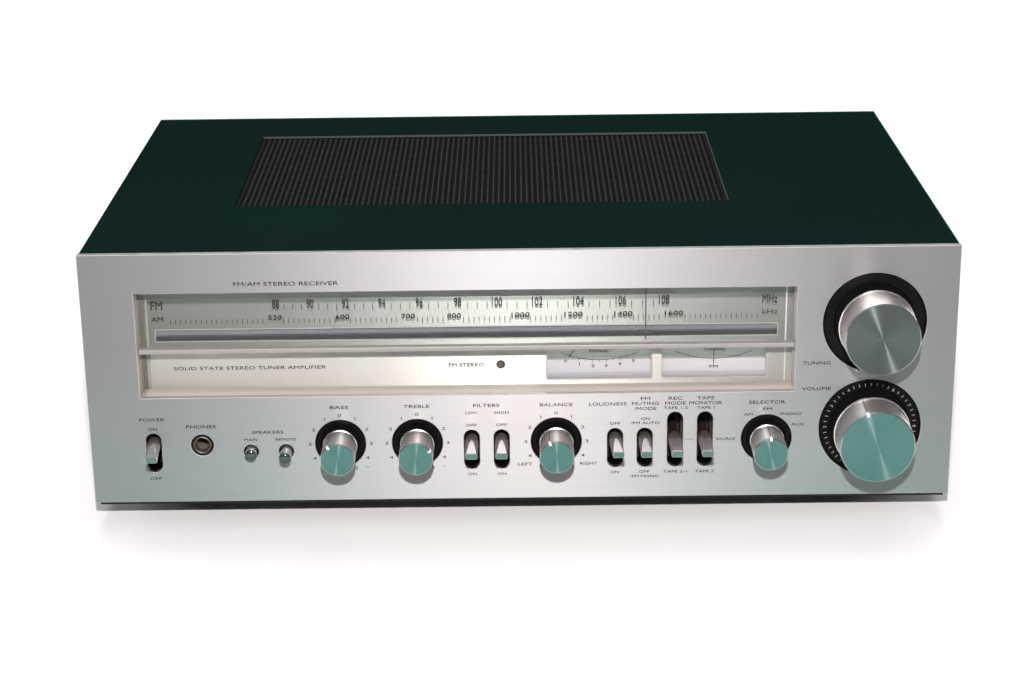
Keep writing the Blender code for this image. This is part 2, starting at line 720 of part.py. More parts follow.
def chassis_tray():
    """The folded bottom pan, with a low wall round its front and sides."""
    front, back = PANEL_THICKNESS + GAP, REAR_DEPTH - GAP
    low, high = (-CHASSIS_SIDE, front, -PANEL_LIFT), (CHASSIS_SIDE, back, 0.0100)
    tray = box("chassis_tray", low, high, BLACK_STEEL)
    inside = CHASSIS_SIDE - CHASSIS_SHEET
    low, high = (-inside, front + CHASSIS_SHEET, FLOOR_TOP), (inside, 0.35, 0.05)
    cut(tray, box("tray_cut", low, high))
    half = 0.0015
    vents = [
        box(f"floor_vent_{i}", (x - half, 0.190, -0.02), (x + half, 0.250, 0.02))
        for i, x in enumerate(0.0125 * n for n in range(9))
    ]
    cut(tray, *vents)


def feet():
    """Four rubber feet under the chassis."""
    top, radius = FOOT_HEIGHT - GAP, 0.0125
    profile = [(0, top), (radius, top), (radius, 0.0085), (0.0110, 0.0010), (0.0100, 0), (0, 0)]
    for end, depth in (("front", 0.045), ("rear", 0.270)):
        for side, x in (("left", -0.200), ("right", 0.200)):
            foot = turned(f"{end}_{side}_foot", profile, x, 0, RUBBER, 24)
            foot.rotation_euler = (0, 0, 0)
            foot.location = (x, depth, -PANEL_Z)


def rear_panel():
    """The back plate, with openings for the sockets, the terminals, the cord and the air."""
    panel = box(
        "rear_panel",
        (-CHASSIS_SIDE, REAR_DEPTH, FLOOR_TOP + GAP - CHASSIS_SHEET),
        (CHASSIS_SIDE, REAR_BACK, COVER_CEILING - GAP),
        BLACK_STEEL,
    )
    through = (0.30, 0.32)
    cutters = [rod("gland_cut", *GLAND, GLAND_HOLE, *through, sides=20)]
    edge = 0.003
    for name, (left, right, bottom, top) in (("jack", JACK_PLATE), ("terminal", TERMINAL_PLATE)):
        low, high = (left + edge, through[0], bottom + edge), (right - edge, through[1], top - edge)
        cutters.append(box(f"{name}_opening", low, high))
    for i in range(8):
        x = -0.1700 + 0.0085 * i
        low, high = (x - 0.0015, through[0], 0.070), (x + 0.0015, through[1], 0.110)
        cutters.append(box(f"rear_vent_{i}", low, high))
    cut(panel, *cutters)


def moulded_block(name, plate, thickness):
    """A plate on the back, and the smaller body behind it that fills the opening."""
    left, right, bottom, top = plate
    block = box(name, (left, OUTSIDE, bottom), (right, OUTSIDE + thickness, top), BLACK_PLASTIC)
    low = (left + BODY_MARGIN, BODY_FRONT, bottom + BODY_MARGIN)
    high = (right - BODY_MARGIN, OUTSIDE + 0.001, top - BODY_MARGIN)
    return join(block, box(f"{name}_body", low, high))


def jack_panel():
    """The strip of phono sockets on the back: two rows, each socket a hollow collar."""
    plate = moulded_block("jack_panel", JACK_PLATE, 0.0016)
    collars, bores = [], []
    for i, (x, z) in enumerate(grid_places(JACK_PLATE, JACK_COLUMNS, JACK_ROWS)):
        ends = (OUTSIDE + 0.0005, OUTSIDE + FITTING_REACH)
        collars.append(rod(f"jack_{i}", x, z, 0.0042, *ends, sides=14))
        bores.append(rod(f"jack_bore_{i}", x, z, 0.0016, 0.3060, 0.33, sides=8))
    join(plate, *collars)
    cut(plate, *bores)


def speaker_terminals():
    """Two rows of screw terminals on a moulded block."""
    block = moulded_block("speaker_terminals", TERMINAL_PLATE, 0.0030)
    ends = (OUTSIDE + 0.0005, OUTSIDE + FITTING_REACH)
    screws = [
        rod(f"terminal_{i}", x, z, 0.0052, *ends, sides=12)
        for i, (x, z) in enumerate(grid_places(TERMINAL_PLATE, TERMINAL_COLUMNS, TERMINAL_ROWS))
    ]
    join(block, *screws)


def mains_gland():
    """The collar that the mains cord would pass through."""
    bore, inner_end, outer_end = 0.0036, -0.3050, -OUTSIDE - 0.0085
    profile = [
        (0.0060, inner_end),
        (0.0060, -OUTSIDE),
        (0.0085, -OUTSIDE),
        (0.0085, -OUTSIDE - 0.0020),
        (0.0058, -OUTSIDE - 0.0030),
        (0.0050, outer_end),
        (bore, outer_end),
        (bore, inner_end),
    ]
    turned("mains_gland", profile, *GLAND, BLACK_PLASTIC, 20, closed=True)


def antenna_bracket(x, z, depth):
    """The bracket on the back, with two ears and the upright pin between them."""
    low, high = (x - 0.012, OUTSIDE, z - 0.010), (x + 0.012, OUTSIDE + 0.001, z + 0.010)
    bracket = box("antenna_bracket", low, high, BLACK_PLASTIC)
    ears = [
        box(f"ear_{i}", (x - 0.004, OUTSIDE + 0.0005, low), (x + 0.004, depth + 0.0035, low + 0.002))
        for i, low in enumerate((z - 0.0095, z + 0.0075))
    ]
    pin = rod("antenna_pin", x, depth, 0.0014, z - 0.009, z + 0.009, sides=12, facing="height")
    join(bracket, *ears, pin)


def antenna():
    """The ferrite rod antenna, folded against the back, and the bracket that it swings in."""
    x, z = ANTENNA_PIVOT
    depth = OUTSIDE + 0.0065
    antenna_bracket(x, z, depth)
    eye_ends = (-0.0070, 0.0070)
    eye = rod("antenna_bar", x, depth, 0.0042, *eye_ends, BLACK_PLASTIC, sides=16, facing="height")
    eye.location.z = z
    near, far = -0.0030, -ANTENNA_LENGTH
    ferrite = rod("antenna_rod", 0, 0, 0.0045, far, near, sides=14)
    ferrite.parent = eye
    ferrite.rotation_euler = (0, math.radians(90), 0)
    ferrite.location = ((near + far) / 2, 0, 0)
    join(eye, ferrite)
    bore = rod("antenna_bore", 0, 0, 0.0018, -0.02, 0.02, sides=12, facing="height")
    bore.parent = eye
    cut(eye, bore)


def main_board():
    """The main circuit board on its standoffs, with the two reservoir capacitors and small cans."""
    low, sunk = MAIN_BOARD_TOP - 0.0016, MAIN_BOARD_TOP - 0.0005
    board_solid = box("main_board", (-0.1050, 0.0650, low), (0.2300, 0.2000, MAIN_BOARD_TOP), BOARD)
    fitted = []
    corners = ((-0.098, 0.072), (0.223, 0.072), (-0.098, 0.193), (0.223, 0.193))
    for i, (x, depth) in enumerate(corners):
        ends = (FLOOR_TOP + GAP, low + 0.0005)
        fitted.append(rod(f"standoff_{i}", x, depth, 0.003, *ends, sides=10, facing="height"))
    for i, x in enumerate((-0.070, -0.028)):
        ends = (sunk, 0.080)
        fitted.append(rod(f"reservoir_{i}", x, 0.160, 0.0165, *ends, sides=20, facing="height"))
    for i in range(5):
        x = 0.030 + 0.022 * i
        fitted.append(box(f"if_can_{i}", (x, 0.110, sunk), (x + 0.010, 0.120, 0.024)))
    join(board_solid, *fitted)


def power_transformer():
    """The mains transformer: laminated core and wound coil, on its feet."""
    base = FLOOR_TOP + GAP
    low, high = (-0.2150, 0.1150, base + 0.006), (-0.1300, 0.1500, 0.0800)
    core = box("power_transformer", low, high, LAMINATION, 0.0010)
    coil = box("transformer_coil", (-0.1960, 0.0980, base + 0.020), (-0.1490, 0.1670, 0.0670))
    foot = box("transformer_foot", (-0.2200, 0.1200, base), (-0.1250, 0.1450, base + 0.0075))
    join(core, coil, foot)


def heat_sink():
    """The finned block that cools the output transistors, under the top vent."""
    left, right, fins = -0.0100, 0.1200, 14
    base = FLOOR_TOP + GAP
    block = box("heat_sink", (left, 0.2150, base), (right, 0.2600, 0.1000), FINNED)
    pitch = (right - left) / fins
    gaps = []
    for i in range(fins - 1):
        low, high = left + (i + 0.55) * pitch, left + (i + 1.2) * pitch
        gaps.append(box(f"fin_gap_{i}", (low, 0.2230, base + 0.008), (high, 0.28, 0.12)))
    cut(block, *gaps)


def main():
    front_panel()
    dial_window()
    dial_pointer()
    for kind in METERS:
        meter(kind)
    stereo_lamp()
    for name in KNOBS:
        control_ring(name)
        knob(name)
    tuning_flywheel()
    control_boards()
    for name in LEVERS:
        lever(name)
    for name in BUTTONS:
        speaker_button(name)
    phones_jack()
    dial_drive()
    drive_cord()
    cabinet_cover()
    vent_grille()
    chassis_tray()
    feet()
    rear_panel()
    jack_panel()
    speaker_terminals()
    mains_gland()
    antenna()
    main_board()
    power_transformer()
    heat_sink()


main()
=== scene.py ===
"""Looks of the stereo receiver: a fine front panel with its printing, turned knobs, bat levers,
dial, meters, vent and back sockets, each riding on its CAD body, with a pale studio around them.

Places on the front are given in panel millimetres: x from the panel's middle, depth behind its
face, height above its lower edge. The function at() turns them into the frame's metres.
"""

import math

import bmesh
import bpy
from mathutils import Matrix, Vector


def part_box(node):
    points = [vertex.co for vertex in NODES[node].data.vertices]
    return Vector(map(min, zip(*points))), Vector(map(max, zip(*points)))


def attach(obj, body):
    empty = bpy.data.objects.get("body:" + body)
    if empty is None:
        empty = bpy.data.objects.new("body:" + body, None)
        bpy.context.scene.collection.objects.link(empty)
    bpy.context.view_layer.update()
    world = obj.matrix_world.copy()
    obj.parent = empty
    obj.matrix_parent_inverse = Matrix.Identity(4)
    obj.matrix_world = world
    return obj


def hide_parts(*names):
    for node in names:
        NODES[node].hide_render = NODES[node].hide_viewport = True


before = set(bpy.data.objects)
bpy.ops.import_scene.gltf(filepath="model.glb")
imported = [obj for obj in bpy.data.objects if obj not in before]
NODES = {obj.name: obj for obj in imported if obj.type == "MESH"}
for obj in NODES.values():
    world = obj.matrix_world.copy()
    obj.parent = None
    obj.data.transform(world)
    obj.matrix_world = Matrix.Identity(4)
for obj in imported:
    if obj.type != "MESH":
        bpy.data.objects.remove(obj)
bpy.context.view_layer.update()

MM = 0.001
PANEL_LOW, PANEL_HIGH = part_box("front_panel")
PANEL_WIDTH = (PANEL_HIGH.x - PANEL_LOW.x) / MM
PANEL_HEIGHT = (PANEL_HIGH.z - PANEL_LOW.z) / MM
PANEL_THICKNESS = (PANEL_HIGH.y - PANEL_LOW.y) / MM

KNOBS = ("tuning", "volume", "bass", "treble", "balance", "selector")
TONE_KNOBS = ("bass", "treble", "balance")
LEVERS = ("power", "low_filter", "high_filter", "loudness", "muting", "rec_mode", "tape_monitor")
THREE_WAY = ("rec_mode", "tape_monitor")
BUTTONS = ("main", "remote")
# Degrees clockwise from straight up; the tuning knob has no index
INDEX_ANGLES = {"volume": -17.7, "bass": -35.5, "treble": 59.5, "balance": -25.1, "selector": 0.0}


def at(x, depth, height):
    """A place given in panel millimetres, in the frame's metres."""
    return Vector((x * MM, PANEL_LOW.y + depth * MM, PANEL_LOW.z + height * MM))


def span(node):
    """The lowest and highest corner of a CAD node in panel millimetres."""
    low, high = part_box(node)
    origin = at(0, 0, 0)
    return (low - origin) / MM, (high - origin) / MM


def spot(node):
    """The middle of a CAD node, across and up, and half its width, in panel millimetres."""
    low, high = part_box(node)
    middle = (low + high) / 2
    return middle.x / MM, (middle.z - PANEL_LOW.z) / MM, (high.x - low.x) / 2 / MM


def rotation(degrees, axis):
    return Matrix.Rotation(math.radians(degrees), 4, axis)


def new_object(name, data):
    obj = bpy.data.objects.new(name, data)
    bpy.context.scene.collection.objects.link(obj)
    return obj


# ------------------------ materials

QUARTER_TURN = 0.25
GRAIN, GRAIN_DARKENS, GRAIN_ROUGHENS = 900.0, 0.82, 0.06
GROOVES = 2600.0


class Look:
    """A Principled material whose colour, roughness and bump come from textures in object space."""

    def __init__(self, name, colour, roughness, metallic=0.0, specular=0.5):
        self.material = bpy.data.materials.new(name)
        self.material.use_nodes = True
        self.tree = self.material.node_tree
        self.shader = self.tree.nodes["Principled BSDF"]
        self.set("Base Color", (*colour, 1.0))
        self.set("Roughness", roughness)
        self.set("Metallic", metallic)
        self.set("Specular IOR Level", specular)
        self.colour = colour
        self.roughness = roughness

    def set(self, socket, value):
        self.shader.inputs[socket].default_value = value

    def link(self, outlet, socket):
        self.tree.links.new(outlet, self.shader.inputs[socket])

    def node(self, kind, inputs=(), **settings):
        made = self.tree.nodes.new("ShaderNode" + kind)
        for key, value in settings.items():
            setattr(made, key, value)
        for socket, value in dict(inputs).items():
            if isinstance(value, bpy.types.NodeSocket):
                self.tree.links.new(value, made.inputs[socket])
            else:
                made.inputs[socket].default_value = value
        return made

    def place(self, stretch=(1, 1, 1)):
        coordinates = self.node("TexCoord").outputs["Object"]
        return self.node("Mapping", {"Vector": coordinates, "Scale": stretch}).outputs[0]

    def noise(self, scale, stretch=(1, 1, 1), detail=2.0):
        inputs = {"Vector": self.place(stretch), "Scale": scale, "Detail": detail}
        return self.node("TexNoise", inputs).outputs["Fac"]

    def ramp(self, factor, low, high, top=1.0, bottom=0.0):
        ends = {"From Min": low, "From Max": high, "To Min": bottom, "To Max": top}
        return self.node("MapRange", {"Value": factor, **ends}).outputs[0]

    def compute(self, operation, *values):
        return self.node("Math", dict(enumerate(values)), operation=operation).outputs[0]

    def axis(self, name):
        return self.node("SeparateXYZ", {0: self.place()}).outputs[name]

    def along(self, axis, low, high):
        """0 at one place along an axis of the object's own space and 1 at another."""
        return self.ramp(self.axis(axis), low * MM, high * MM)

    def upward(self, low, high):
        """0 at one height on the panel and 1 at another, on a CAD node."""
        floor = PANEL_LOW.z / MM
        return self.along("Z", floor + low, floor + high)

    def tint(self, factor, colour):
        """The colour so far, mixed towards another by the factor."""
        base = self.shader.inputs["Base Color"]
        so_far = base.links[0].from_socket if base.is_linked else base.default_value
        inputs = {0: factor, 6: so_far, 7: (*colour, 1.0)}
        self.link(self.node("Mix", inputs, data_type="RGBA").outputs[2], "Base Color")

    def rough(self, factor, low, high):
        self.link(self.ramp(factor, 0.3, 0.7, high, low), "Roughness")

    def bump(self, factor, distance, strength):
        inputs = {"Height": factor, "Distance": distance, "Strength": strength}
        self.link(self.node("Bump", inputs).outputs[0], "Normal")

    def brushed(self, axis, amount):
        """Grooves that run round the object's own axis, or straight where the piece is flat."""
        tangent = self.node("Tangent", direction_type="RADIAL", axis=axis)
        self.link(tangent.outputs[0], "Tangent")
        self.set("Anisotropic", amount)
        self.set("Anisotropic Rotation", QUARTER_TURN)


def dark_of(colour, share):
    return tuple(channel * share for channel in colour)


def fine_grain(look):
    """Small-scale mottling, for paints and plastics."""
    grain = look.noise(GRAIN, detail=3.0)
    look.tint(look.ramp(grain, 0.35, 0.75, 0.6), dark_of(look.colour, GRAIN_DARKENS))
    look.rough(look.noise(GRAIN / 9), look.roughness - GRAIN_ROUGHENS, look.roughness + GRAIN_ROUGHENS)
    look.bump(grain, 0.03 * MM, 0.4)
    return look.material


def plain(*values, **named):
    return fine_grain(Look(*values, **named))


def panel_look():
    """Brushed along the width, so that the light flares up and down. Painted reflection of a green
    surround greens it towards the bottom; it is painted neutral again in the middle, under the flare."""
    look = Look("brushed_panel", (0.228, 0.235, 0.240), 0.36, 0.72)
    # Painted reflection: greener towards the bottom, as of a green surround
    look.tint(look.along("Y", 100, 0), (0.235, 0.300, 0.291))
    # Painted back to neutral near the middle and low down, where the light's flare outshines that
    # reflection
    aside = look.compute("ABSOLUTE", look.axis("X"))
    near = look.ramp(aside, 180 * MM, 20 * MM, 0.8)
    look.tint(look.compute("MULTIPLY", near, look.along("Y", 135, 80)), (0.260, 0.252, 0.252))
    streaks = look.noise(1.0, (14, 3600, 400), 3.0)
    look.tint(look.ramp(streaks, 0.40, 0.68, 0.35), (0.210, 0.220, 0.220))
    look.rough(look.noise(1.0, (5, 900, 200), 3.0), 0.49, 0.525)
    look.bump(streaks, 0.004 * MM, 0.2)
    look.brushed("Y", 0.91)
    return look.material


# On the dial plate, the meters and the bezel, paint carries on the soft shadows of the window's
# edges and of the divider. It darkens ahead of a real shadow and is paler again inside it.
PLATE_SHADE, PLATE_PALER = (113.8, 115.2), (116.4, 117.0)
METER_SHADE, METER_PALER = (76.0, 76.4), (77.8, 78.2)
PLATE_END_SHADE, BEZEL_END_SHADE = (-211.6, -212.8), (-211.5, -213.5)
METER_CASE = (90.5, 91.0)
# Where painted light makes the plate below the divider paler, and where the real light grows stronger
PAINTED_LIGHT_BELOW_DIVIDER, STRONGER_LIGHT = (87.0, 84.0), (-180, -80)


def dial_look():
    """Satin silver paint, which flares up and down under the light. Below the divider painted light
    makes it paler, lifting the divider's shadow, less so to the right, where the real light is stronger."""
    look = Look("dial_paint", (0.20, 0.213, 0.199), 0.44, 0.7)
    look.tint(look.ramp(look.noise(700.0), 0.4, 0.7, 0.3), (0.19, 0.20, 0.18))
    # Painted light: the plate is paler below the divider, and less so to the right
    lower = look.upward(*PAINTED_LIGHT_BELOW_DIVIDER)
    look.tint(lower, (0.50, 0.487, 0.452))
    right = look.along("X", *STRONGER_LIGHT)
    look.tint(look.compute("MULTIPLY", lower, right), (0.33, 0.325, 0.305))
    look.tint(look.upward(*PLATE_SHADE), (0.10, 0.113, 0.103))
    look.tint(look.upward(*PLATE_PALER), (0.165, 0.18, 0.17))
    look.tint(look.along("X", *PLATE_END_SHADE), (0.18, 0.165, 0.15))
    look.brushed("Z", 0.965)
    return look.material


def bezel_look():
    """Pale moulding, browner at its shaded left end."""
    look = Look("bezel_paint", (0.43, 0.380, 0.345), 0.42)
    fine_grain(look)
    look.tint(look.along("X", *BEZEL_END_SHADE), (0.27, 0.245, 0.22))
    return look.material


def meter_look():
    """The meters' pale face, black where the case rises behind the pointer's slot."""
    look = Look("meter_face", (0.45, 0.44, 0.465), 0.5)
    fine_grain(look)
    look.tint(look.upward(*METER_SHADE), (0.19, 0.205, 0.197))
    look.tint(look.upward(*METER_PALER), (0.50, 0.56, 0.52))
    look.tint(look.upward(*METER_CASE), (0.01, 0.01, 0.011))
    return look.material


def spun_look(name, colour, roughness, amount, metallic=1.0):
    """Turned metal, or clear paint over it: fine rings about the piece's own Z axis."""
    look = Look(name, colour, roughness, metallic)
    look.set("IOR", 1.75)
    flat = look.node("CombineXYZ", {0: look.axis("X"), 1: look.axis("Y")})
    radius = look.node("VectorMath", {0: flat.outputs[0]}, operation="LENGTH")
    outwards = look.compute("ADD", radius.outputs["Value"], look.axis("Z"))
    line = look.node("CombineXYZ", {0: outwards})
    noise = look.node("TexNoise", {"Vector": line.outputs[0], "Scale": GROOVES, "Detail": 3.0})
    look.tint(look.ramp(noise.outputs["Fac"], 0.4, 0.68, 0.35), dark_of(colour, 0.8))
    look.brushed("Z", amount)
    return look.material


def cover_look():
    """Dark teal paint: cloudy, with a little dust, and smeared along the depth."""
    look = Look("cover_paint", (0.0040, 0.0118, 0.0102), 0.42, specular=0.0)
    cloud = look.noise(7.0, (1, 0.5, 1), 4.0)
    look.tint(look.ramp(cloud, 0.45, 0.8, 0.5), (0.0045, 0.0170, 0.0150))
    dust = look.noise(420.0, detail=0.0)
    look.tint(look.ramp(dust, 0.80, 0.84, 0.25), (0.03, 0.06, 0.055))
    look.rough(look.noise(3.0, (1, 6, 1), 5.0), 0.36, 0.52)
    look.bump(look.noise(2600.0, detail=1.0), 0.01 * MM, 0.3)
    return look.material


def glass_look():
    """Clear sheet that light passes, with a weak sharp reflection on its front only."""
    look = Look("dial_window_sheet", (1.0, 1.0, 1.0), 0.0)
    look.tree.nodes.remove(look.shader)
    clear = look.node("BsdfTransparent", {0: (0.975, 0.985, 0.98, 1.0)})
    gloss = look.node("BsdfGlossy", {"Roughness": 0.04})
    fresnel = look.node("Fresnel", {"IOR": 1.25})
    normal = look.node("TexCoord").outputs["Normal"]
    across = look.node("SeparateXYZ", {0: normal}).outputs["Y"]
    front = look.compute("LESS_THAN", across, -0.5)
    share = look.compute("MULTIPLY", fresnel.outputs[0], front)
    mix = look.node("MixShader", {0: share, 1: clear.outputs[0], 2: gloss.outputs[0]})
    look.tree.links.new(mix.outputs[0], look.tree.nodes["Material Output"].inputs["Surface"])
    return look.material


PANEL = panel_look()
SPUN_SIDE = spun_look("knob_side", (0.82, 0.78, 0.76), 0.30, 0.8)
# Painted light: a paler copy of the knob side for the tuning knob, for the brighter things it mirrors
SPUN_SIDE_PAINTED_LIGHT = spun_look("tuning_side_painted_light", (0.96, 0.90, 0.88), 0.30, 0.8)
# Painted reflection of a green surround: the teal of the knobs' faces and the greenish grey of the tuning
# face
FACE_PAINTED_REFLECTION = spun_look("knob_face_painted_reflection", (0.009, 0.096, 0.080), 0.25, 1.0, metallic=0.0)
TUNING_FACE_PAINTED_REFLECTION = spun_look("tuning_face_painted_reflection", (0.083, 0.101, 0.098), 0.25, 1.0)
BRIGHT = plain("bright_edge", (0.75, 0.74, 0.73), 0.25, 1.0)
# Painted reflection: the knob rims' darker green tint
RIM_PAINTED_REFLECTION = plain("knob_rim", (0.42, 0.46, 0.45), 0.3, 1.0)
PANEL_EDGE = plain("panel_edge", (0.40, 0.40, 0.39), 0.4, 0.7)
PANEL_CHAMFER = plain("panel_chamfer", (0.42, 0.42, 0.42), 0.5, 0.25)
BLACK = plain("black_plastic", (0.0045, 0.0045, 0.005), 0.4, specular=0.05)
INK = plain("panel_ink", (0.012, 0.018, 0.024), 0.9, specular=0.0)
PALE_INK = plain("pale_ink", (0.55, 0.56, 0.55), 0.6)
RING_INK = plain("ring_ink", (0.30, 0.31, 0.30), 0.6)
WHITE = plain("index_white", (0.85, 0.86, 0.84), 0.5)
COVER = cover_look()
# Painted highlight along the cover's back and right top edges
COVER_EDGE_PAINTED_HIGHLIGHT = plain("cover_edge", (0.006, 0.075, 0.052), 0.5, specular=0.0)
VENT_BLACK = plain("vent_black", (0.003, 0.0033, 0.0034), 0.6, specular=0.04)
# Painted glint: the grille's beads are paler than its ribs
VENT_BEAD_PAINTED_GLINT = plain("vent_bead", (0.038, 0.041, 0.042), 0.5, specular=0.15)
# Painted highlight along the back and right of the grille's opening
VENT_EDGE_PAINTED_HIGHLIGHT = plain("vent_edge", (0.055, 0.062, 0.062), 0.4)
STEEL_BLACK = plain("black_steel", (0.008, 0.009, 0.009), 0.5, specular=0.3)
REAR_STEEL = plain("rear_steel", (0.028, 0.030, 0.030), 0.45, specular=0.4)
BEIGE = bezel_look()
DIAL = dial_look()
METER_FACE = meter_look()
SLATE = plain("pointer_grey", (0.045, 0.050, 0.055), 0.5, 0.2)
RAIL = plain("rail_blue", (0.125, 0.135, 0.15), 0.5)
# Painted shade for the dark lower part of the pointer's slot
SHADE = plain("slot_shade", (0.024, 0.027, 0.032), 0.6)
DIVIDER = plain("divider_paint", (0.215, 0.215, 0.205), 0.4)
STRIP = plain("plate_strip", (0.36, 0.355, 0.33), 0.4)
SOFT_STRIP = plain("soft_strip", (0.24, 0.238, 0.22), 0.4)
PALE_STRIP = plain("pale_strip", (0.50, 0.50, 0.48), 0.4)
LEDGE = plain("meter_ledge", (0.355, 0.352, 0.385), 0.5)
SWITCH = plain("switch_black", (0.022, 0.016, 0.013), 0.45)
CHROME = plain("lever_chrome", (0.76, 0.74, 0.77), 0.22, 0.9)
SMOKED = plain("lever_root", (0.37, 0.33, 0.30), 0.36, 0.8)
SMOKED_FLAT = plain("lever_flat", (0.30, 0.27, 0.31), 0.3, 0.6)
# Painted reflection: the levers' end faces are teal, as of a green surround
TIP_PAINTED_REFLECTION = plain("teal_chrome", (0.05, 0.125, 0.106), 0.3, 0.1)
# Painted reflection: the buttons' domes are teal, as of a green surround
DOME_PAINTED_REFLECTION = plain("button_teal", (0.018, 0.048, 0.041), 0.16, 0.3, specular=0.9)
LENS = plain("lamp_lens", (0.055, 0.030, 0.026), 0.25)
ZINC = plain("zinc_steel", (0.46, 0.46, 0.43), 0.4, 1.0)
BRASS = plain("socket_metal", (0.14, 0.125, 0.11), 0.5, 0.9)
BORE = plain("socket_bore", (0.22, 0.18, 0.145), 0.5, 0.3)
RUBBER = plain("foot_rubber", (0.014, 0.014, 0.014), 0.8)
PHENOLIC = plain("circuit_board", (0.23, 0.14, 0.05), 0.6)
IRON = plain("transformer_iron", (0.035, 0.034, 0.033), 0.5)
CORD = plain("dial_cord_fibre", (0.30, 0.27, 0.18), 0.85)
GLASS = glass_look()


# ------------------------ making pieces

WELD = 1e-6


def piece(name, mesh, materials, replaced=(), place=None, body="cabinet", sharp=32.0):
    """A mesh as a named piece that rides on a body, in place of any CAD nodes that it replaces."""
    if isinstance(mesh, bmesh.types.BMesh):
        mesh.normal_update()
        data = bpy.data.meshes.new(name)
        mesh.to_mesh(data)
        mesh.free()
        mesh = data
    mesh.name = name
    for material in materials:
        mesh.materials.append(material)
    mesh.shade_smooth()
    mesh.set_sharp_from_angle(angle=math.radians(sharp))
    obj = new_object(name, mesh)
    if place is not None:
        obj.matrix_world = place
    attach(obj, body)
    if replaced:
        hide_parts(*replaced)


def facing_front(x, depth, height):
    """Local Z towards the user and local Y up, at a place on the panel."""
    return Matrix.Translation(at(x, depth, height)) @ rotation(90, "X")


def facing_back(x, depth, height):
    """Local Z away from the user and local Y up, so that local X runs the other way."""
    turn = rotation(180, "Z") @ rotation(90, "X")
    return Matrix.Translation(at(x, depth, height)) @ turn


def spin(bm, profile, steps, closed=False, centre=(0, 0)):
    """Adds a profile of (radius, z, material of the band that starts here), spun about local Z."""
    rings = []
    for radius, z, *_ in profile:
        count = 1 if radius == 0 else steps
        ring = []
        for i in range(count):
            angle = 2 * math.pi * i / steps
            x, y = centre[0] + radius * math.cos(angle), centre[1] + radius * math.sin(angle)
            ring.append(bm.verts.new(Vector((x, y, z)) * MM))
        rings.append(ring * (steps // count))
    pairs = list(zip(range(len(rings)), range(1, len(rings))))
    if closed:
        pairs.append((len(rings) - 1, 0))
    for a, b in pairs:
        for i in range(steps):
            j = (i + 1) % steps
            corners = [rings[a][i], rings[b][i], rings[b][j], rings[a][j]]
            face = bm.faces.new(list(dict.fromkeys(corners)))
            face.material_index = profile[a][2] if len(profile[a]) > 2 else 0
    return bm


def block(bm, low, high, material=0, turn=Matrix()):
    """Adds a box between two corners in millimetres, turned by a matrix."""
    low, high = Vector(low), Vector(high)
    matrix = Matrix.Translation((low + high) / 2 * MM) @ Matrix.Diagonal((*((high - low) * MM), 1.0))
    made = bmesh.ops.create_cube(bm, size=1.0, matrix=turn @ matrix)
    for face in {f for v in made["verts"] for f in v.link_faces}:
        face.material_index = material


def mesh_of(curve):
    """The mesh that a curve or a text makes."""
    obj = new_object(curve.name, curve)
    bpy.context.view_layer.update()
    mesh = bpy.data.meshes.new_from_object(obj.evaluated_get(bpy.context.evaluated_depsgraph_get()))
    bpy.data.objects.remove(obj)
    return mesh


def flat_outline(name, loops, thickness, chamfer):
    """A sheet in local XY with a chamfered outline and holes."""
    curve = bpy.data.curves.new(name, "CURVE")
    curve.dimensions = "2D"
    curve.fill_mode = "BOTH"
    curve.extrude = (thickness / 2 - chamfer) * MM
    curve.bevel_depth = chamfer * MM
    curve.bevel_resolution = 0
    curve.offset = -chamfer * MM
    for loop in loops:
        spline = curve.splines.new("POLY")
        spline.use_cyclic_u = True
        spline.points.add(len(loop) - 1)
        for knot, (x, y) in zip(spline.points, loop):
            knot.co = (x * MM, y * MM, 0, 1)
    mesh = mesh_of(curve)
    bm = bmesh.new()
    bm.from_mesh(mesh)
    bmesh.ops.remove_doubles(bm, verts=bm.verts, dist=WELD)
    bpy.data.meshes.remove(mesh)
    return bm


def circle(x, y, radius, steps=72):
    turns = [2 * math.pi * i / steps for i in range(steps)]
    return [(x + radius * math.cos(a), y + radius * math.sin(a)) for a in turns]


def rectangle(left, right, bottom, top, corner=0.0, steps=5):
    if corner == 0:
        return [(left, bottom), (right, bottom), (right, top), (left, top)]
    points = []
    centres = ((right - corner, top - corner), (left + corner, top - corner))
    centres += ((left + corner, bottom + corner), (right - corner, bottom + corner))
    for quarter, (x, y) in enumerate(centres):
        for i in range(steps + 1):
            angle = math.pi / 2 * (quarter + i / steps)
            points.append((x + corner * math.cos(angle), y + corner * math.sin(angle)))
    return points


def text_mesh(text):
    curve = bpy.data.curves.new("lettering", "FONT")
    curve.body = text
    curve.size = 1.0
    curve.align_x = "LEFT"
    curve.resolution_u = 3
    return mesh_of(curve)


def cap_height():
    """The height of the font's capitals at size 1."""
    mesh = text_mesh("H")
    height = max(v.co.y for v in mesh.vertices)
    bpy.data.meshes.remove(mesh)
    return height


CAP_HEIGHT = cap_height()


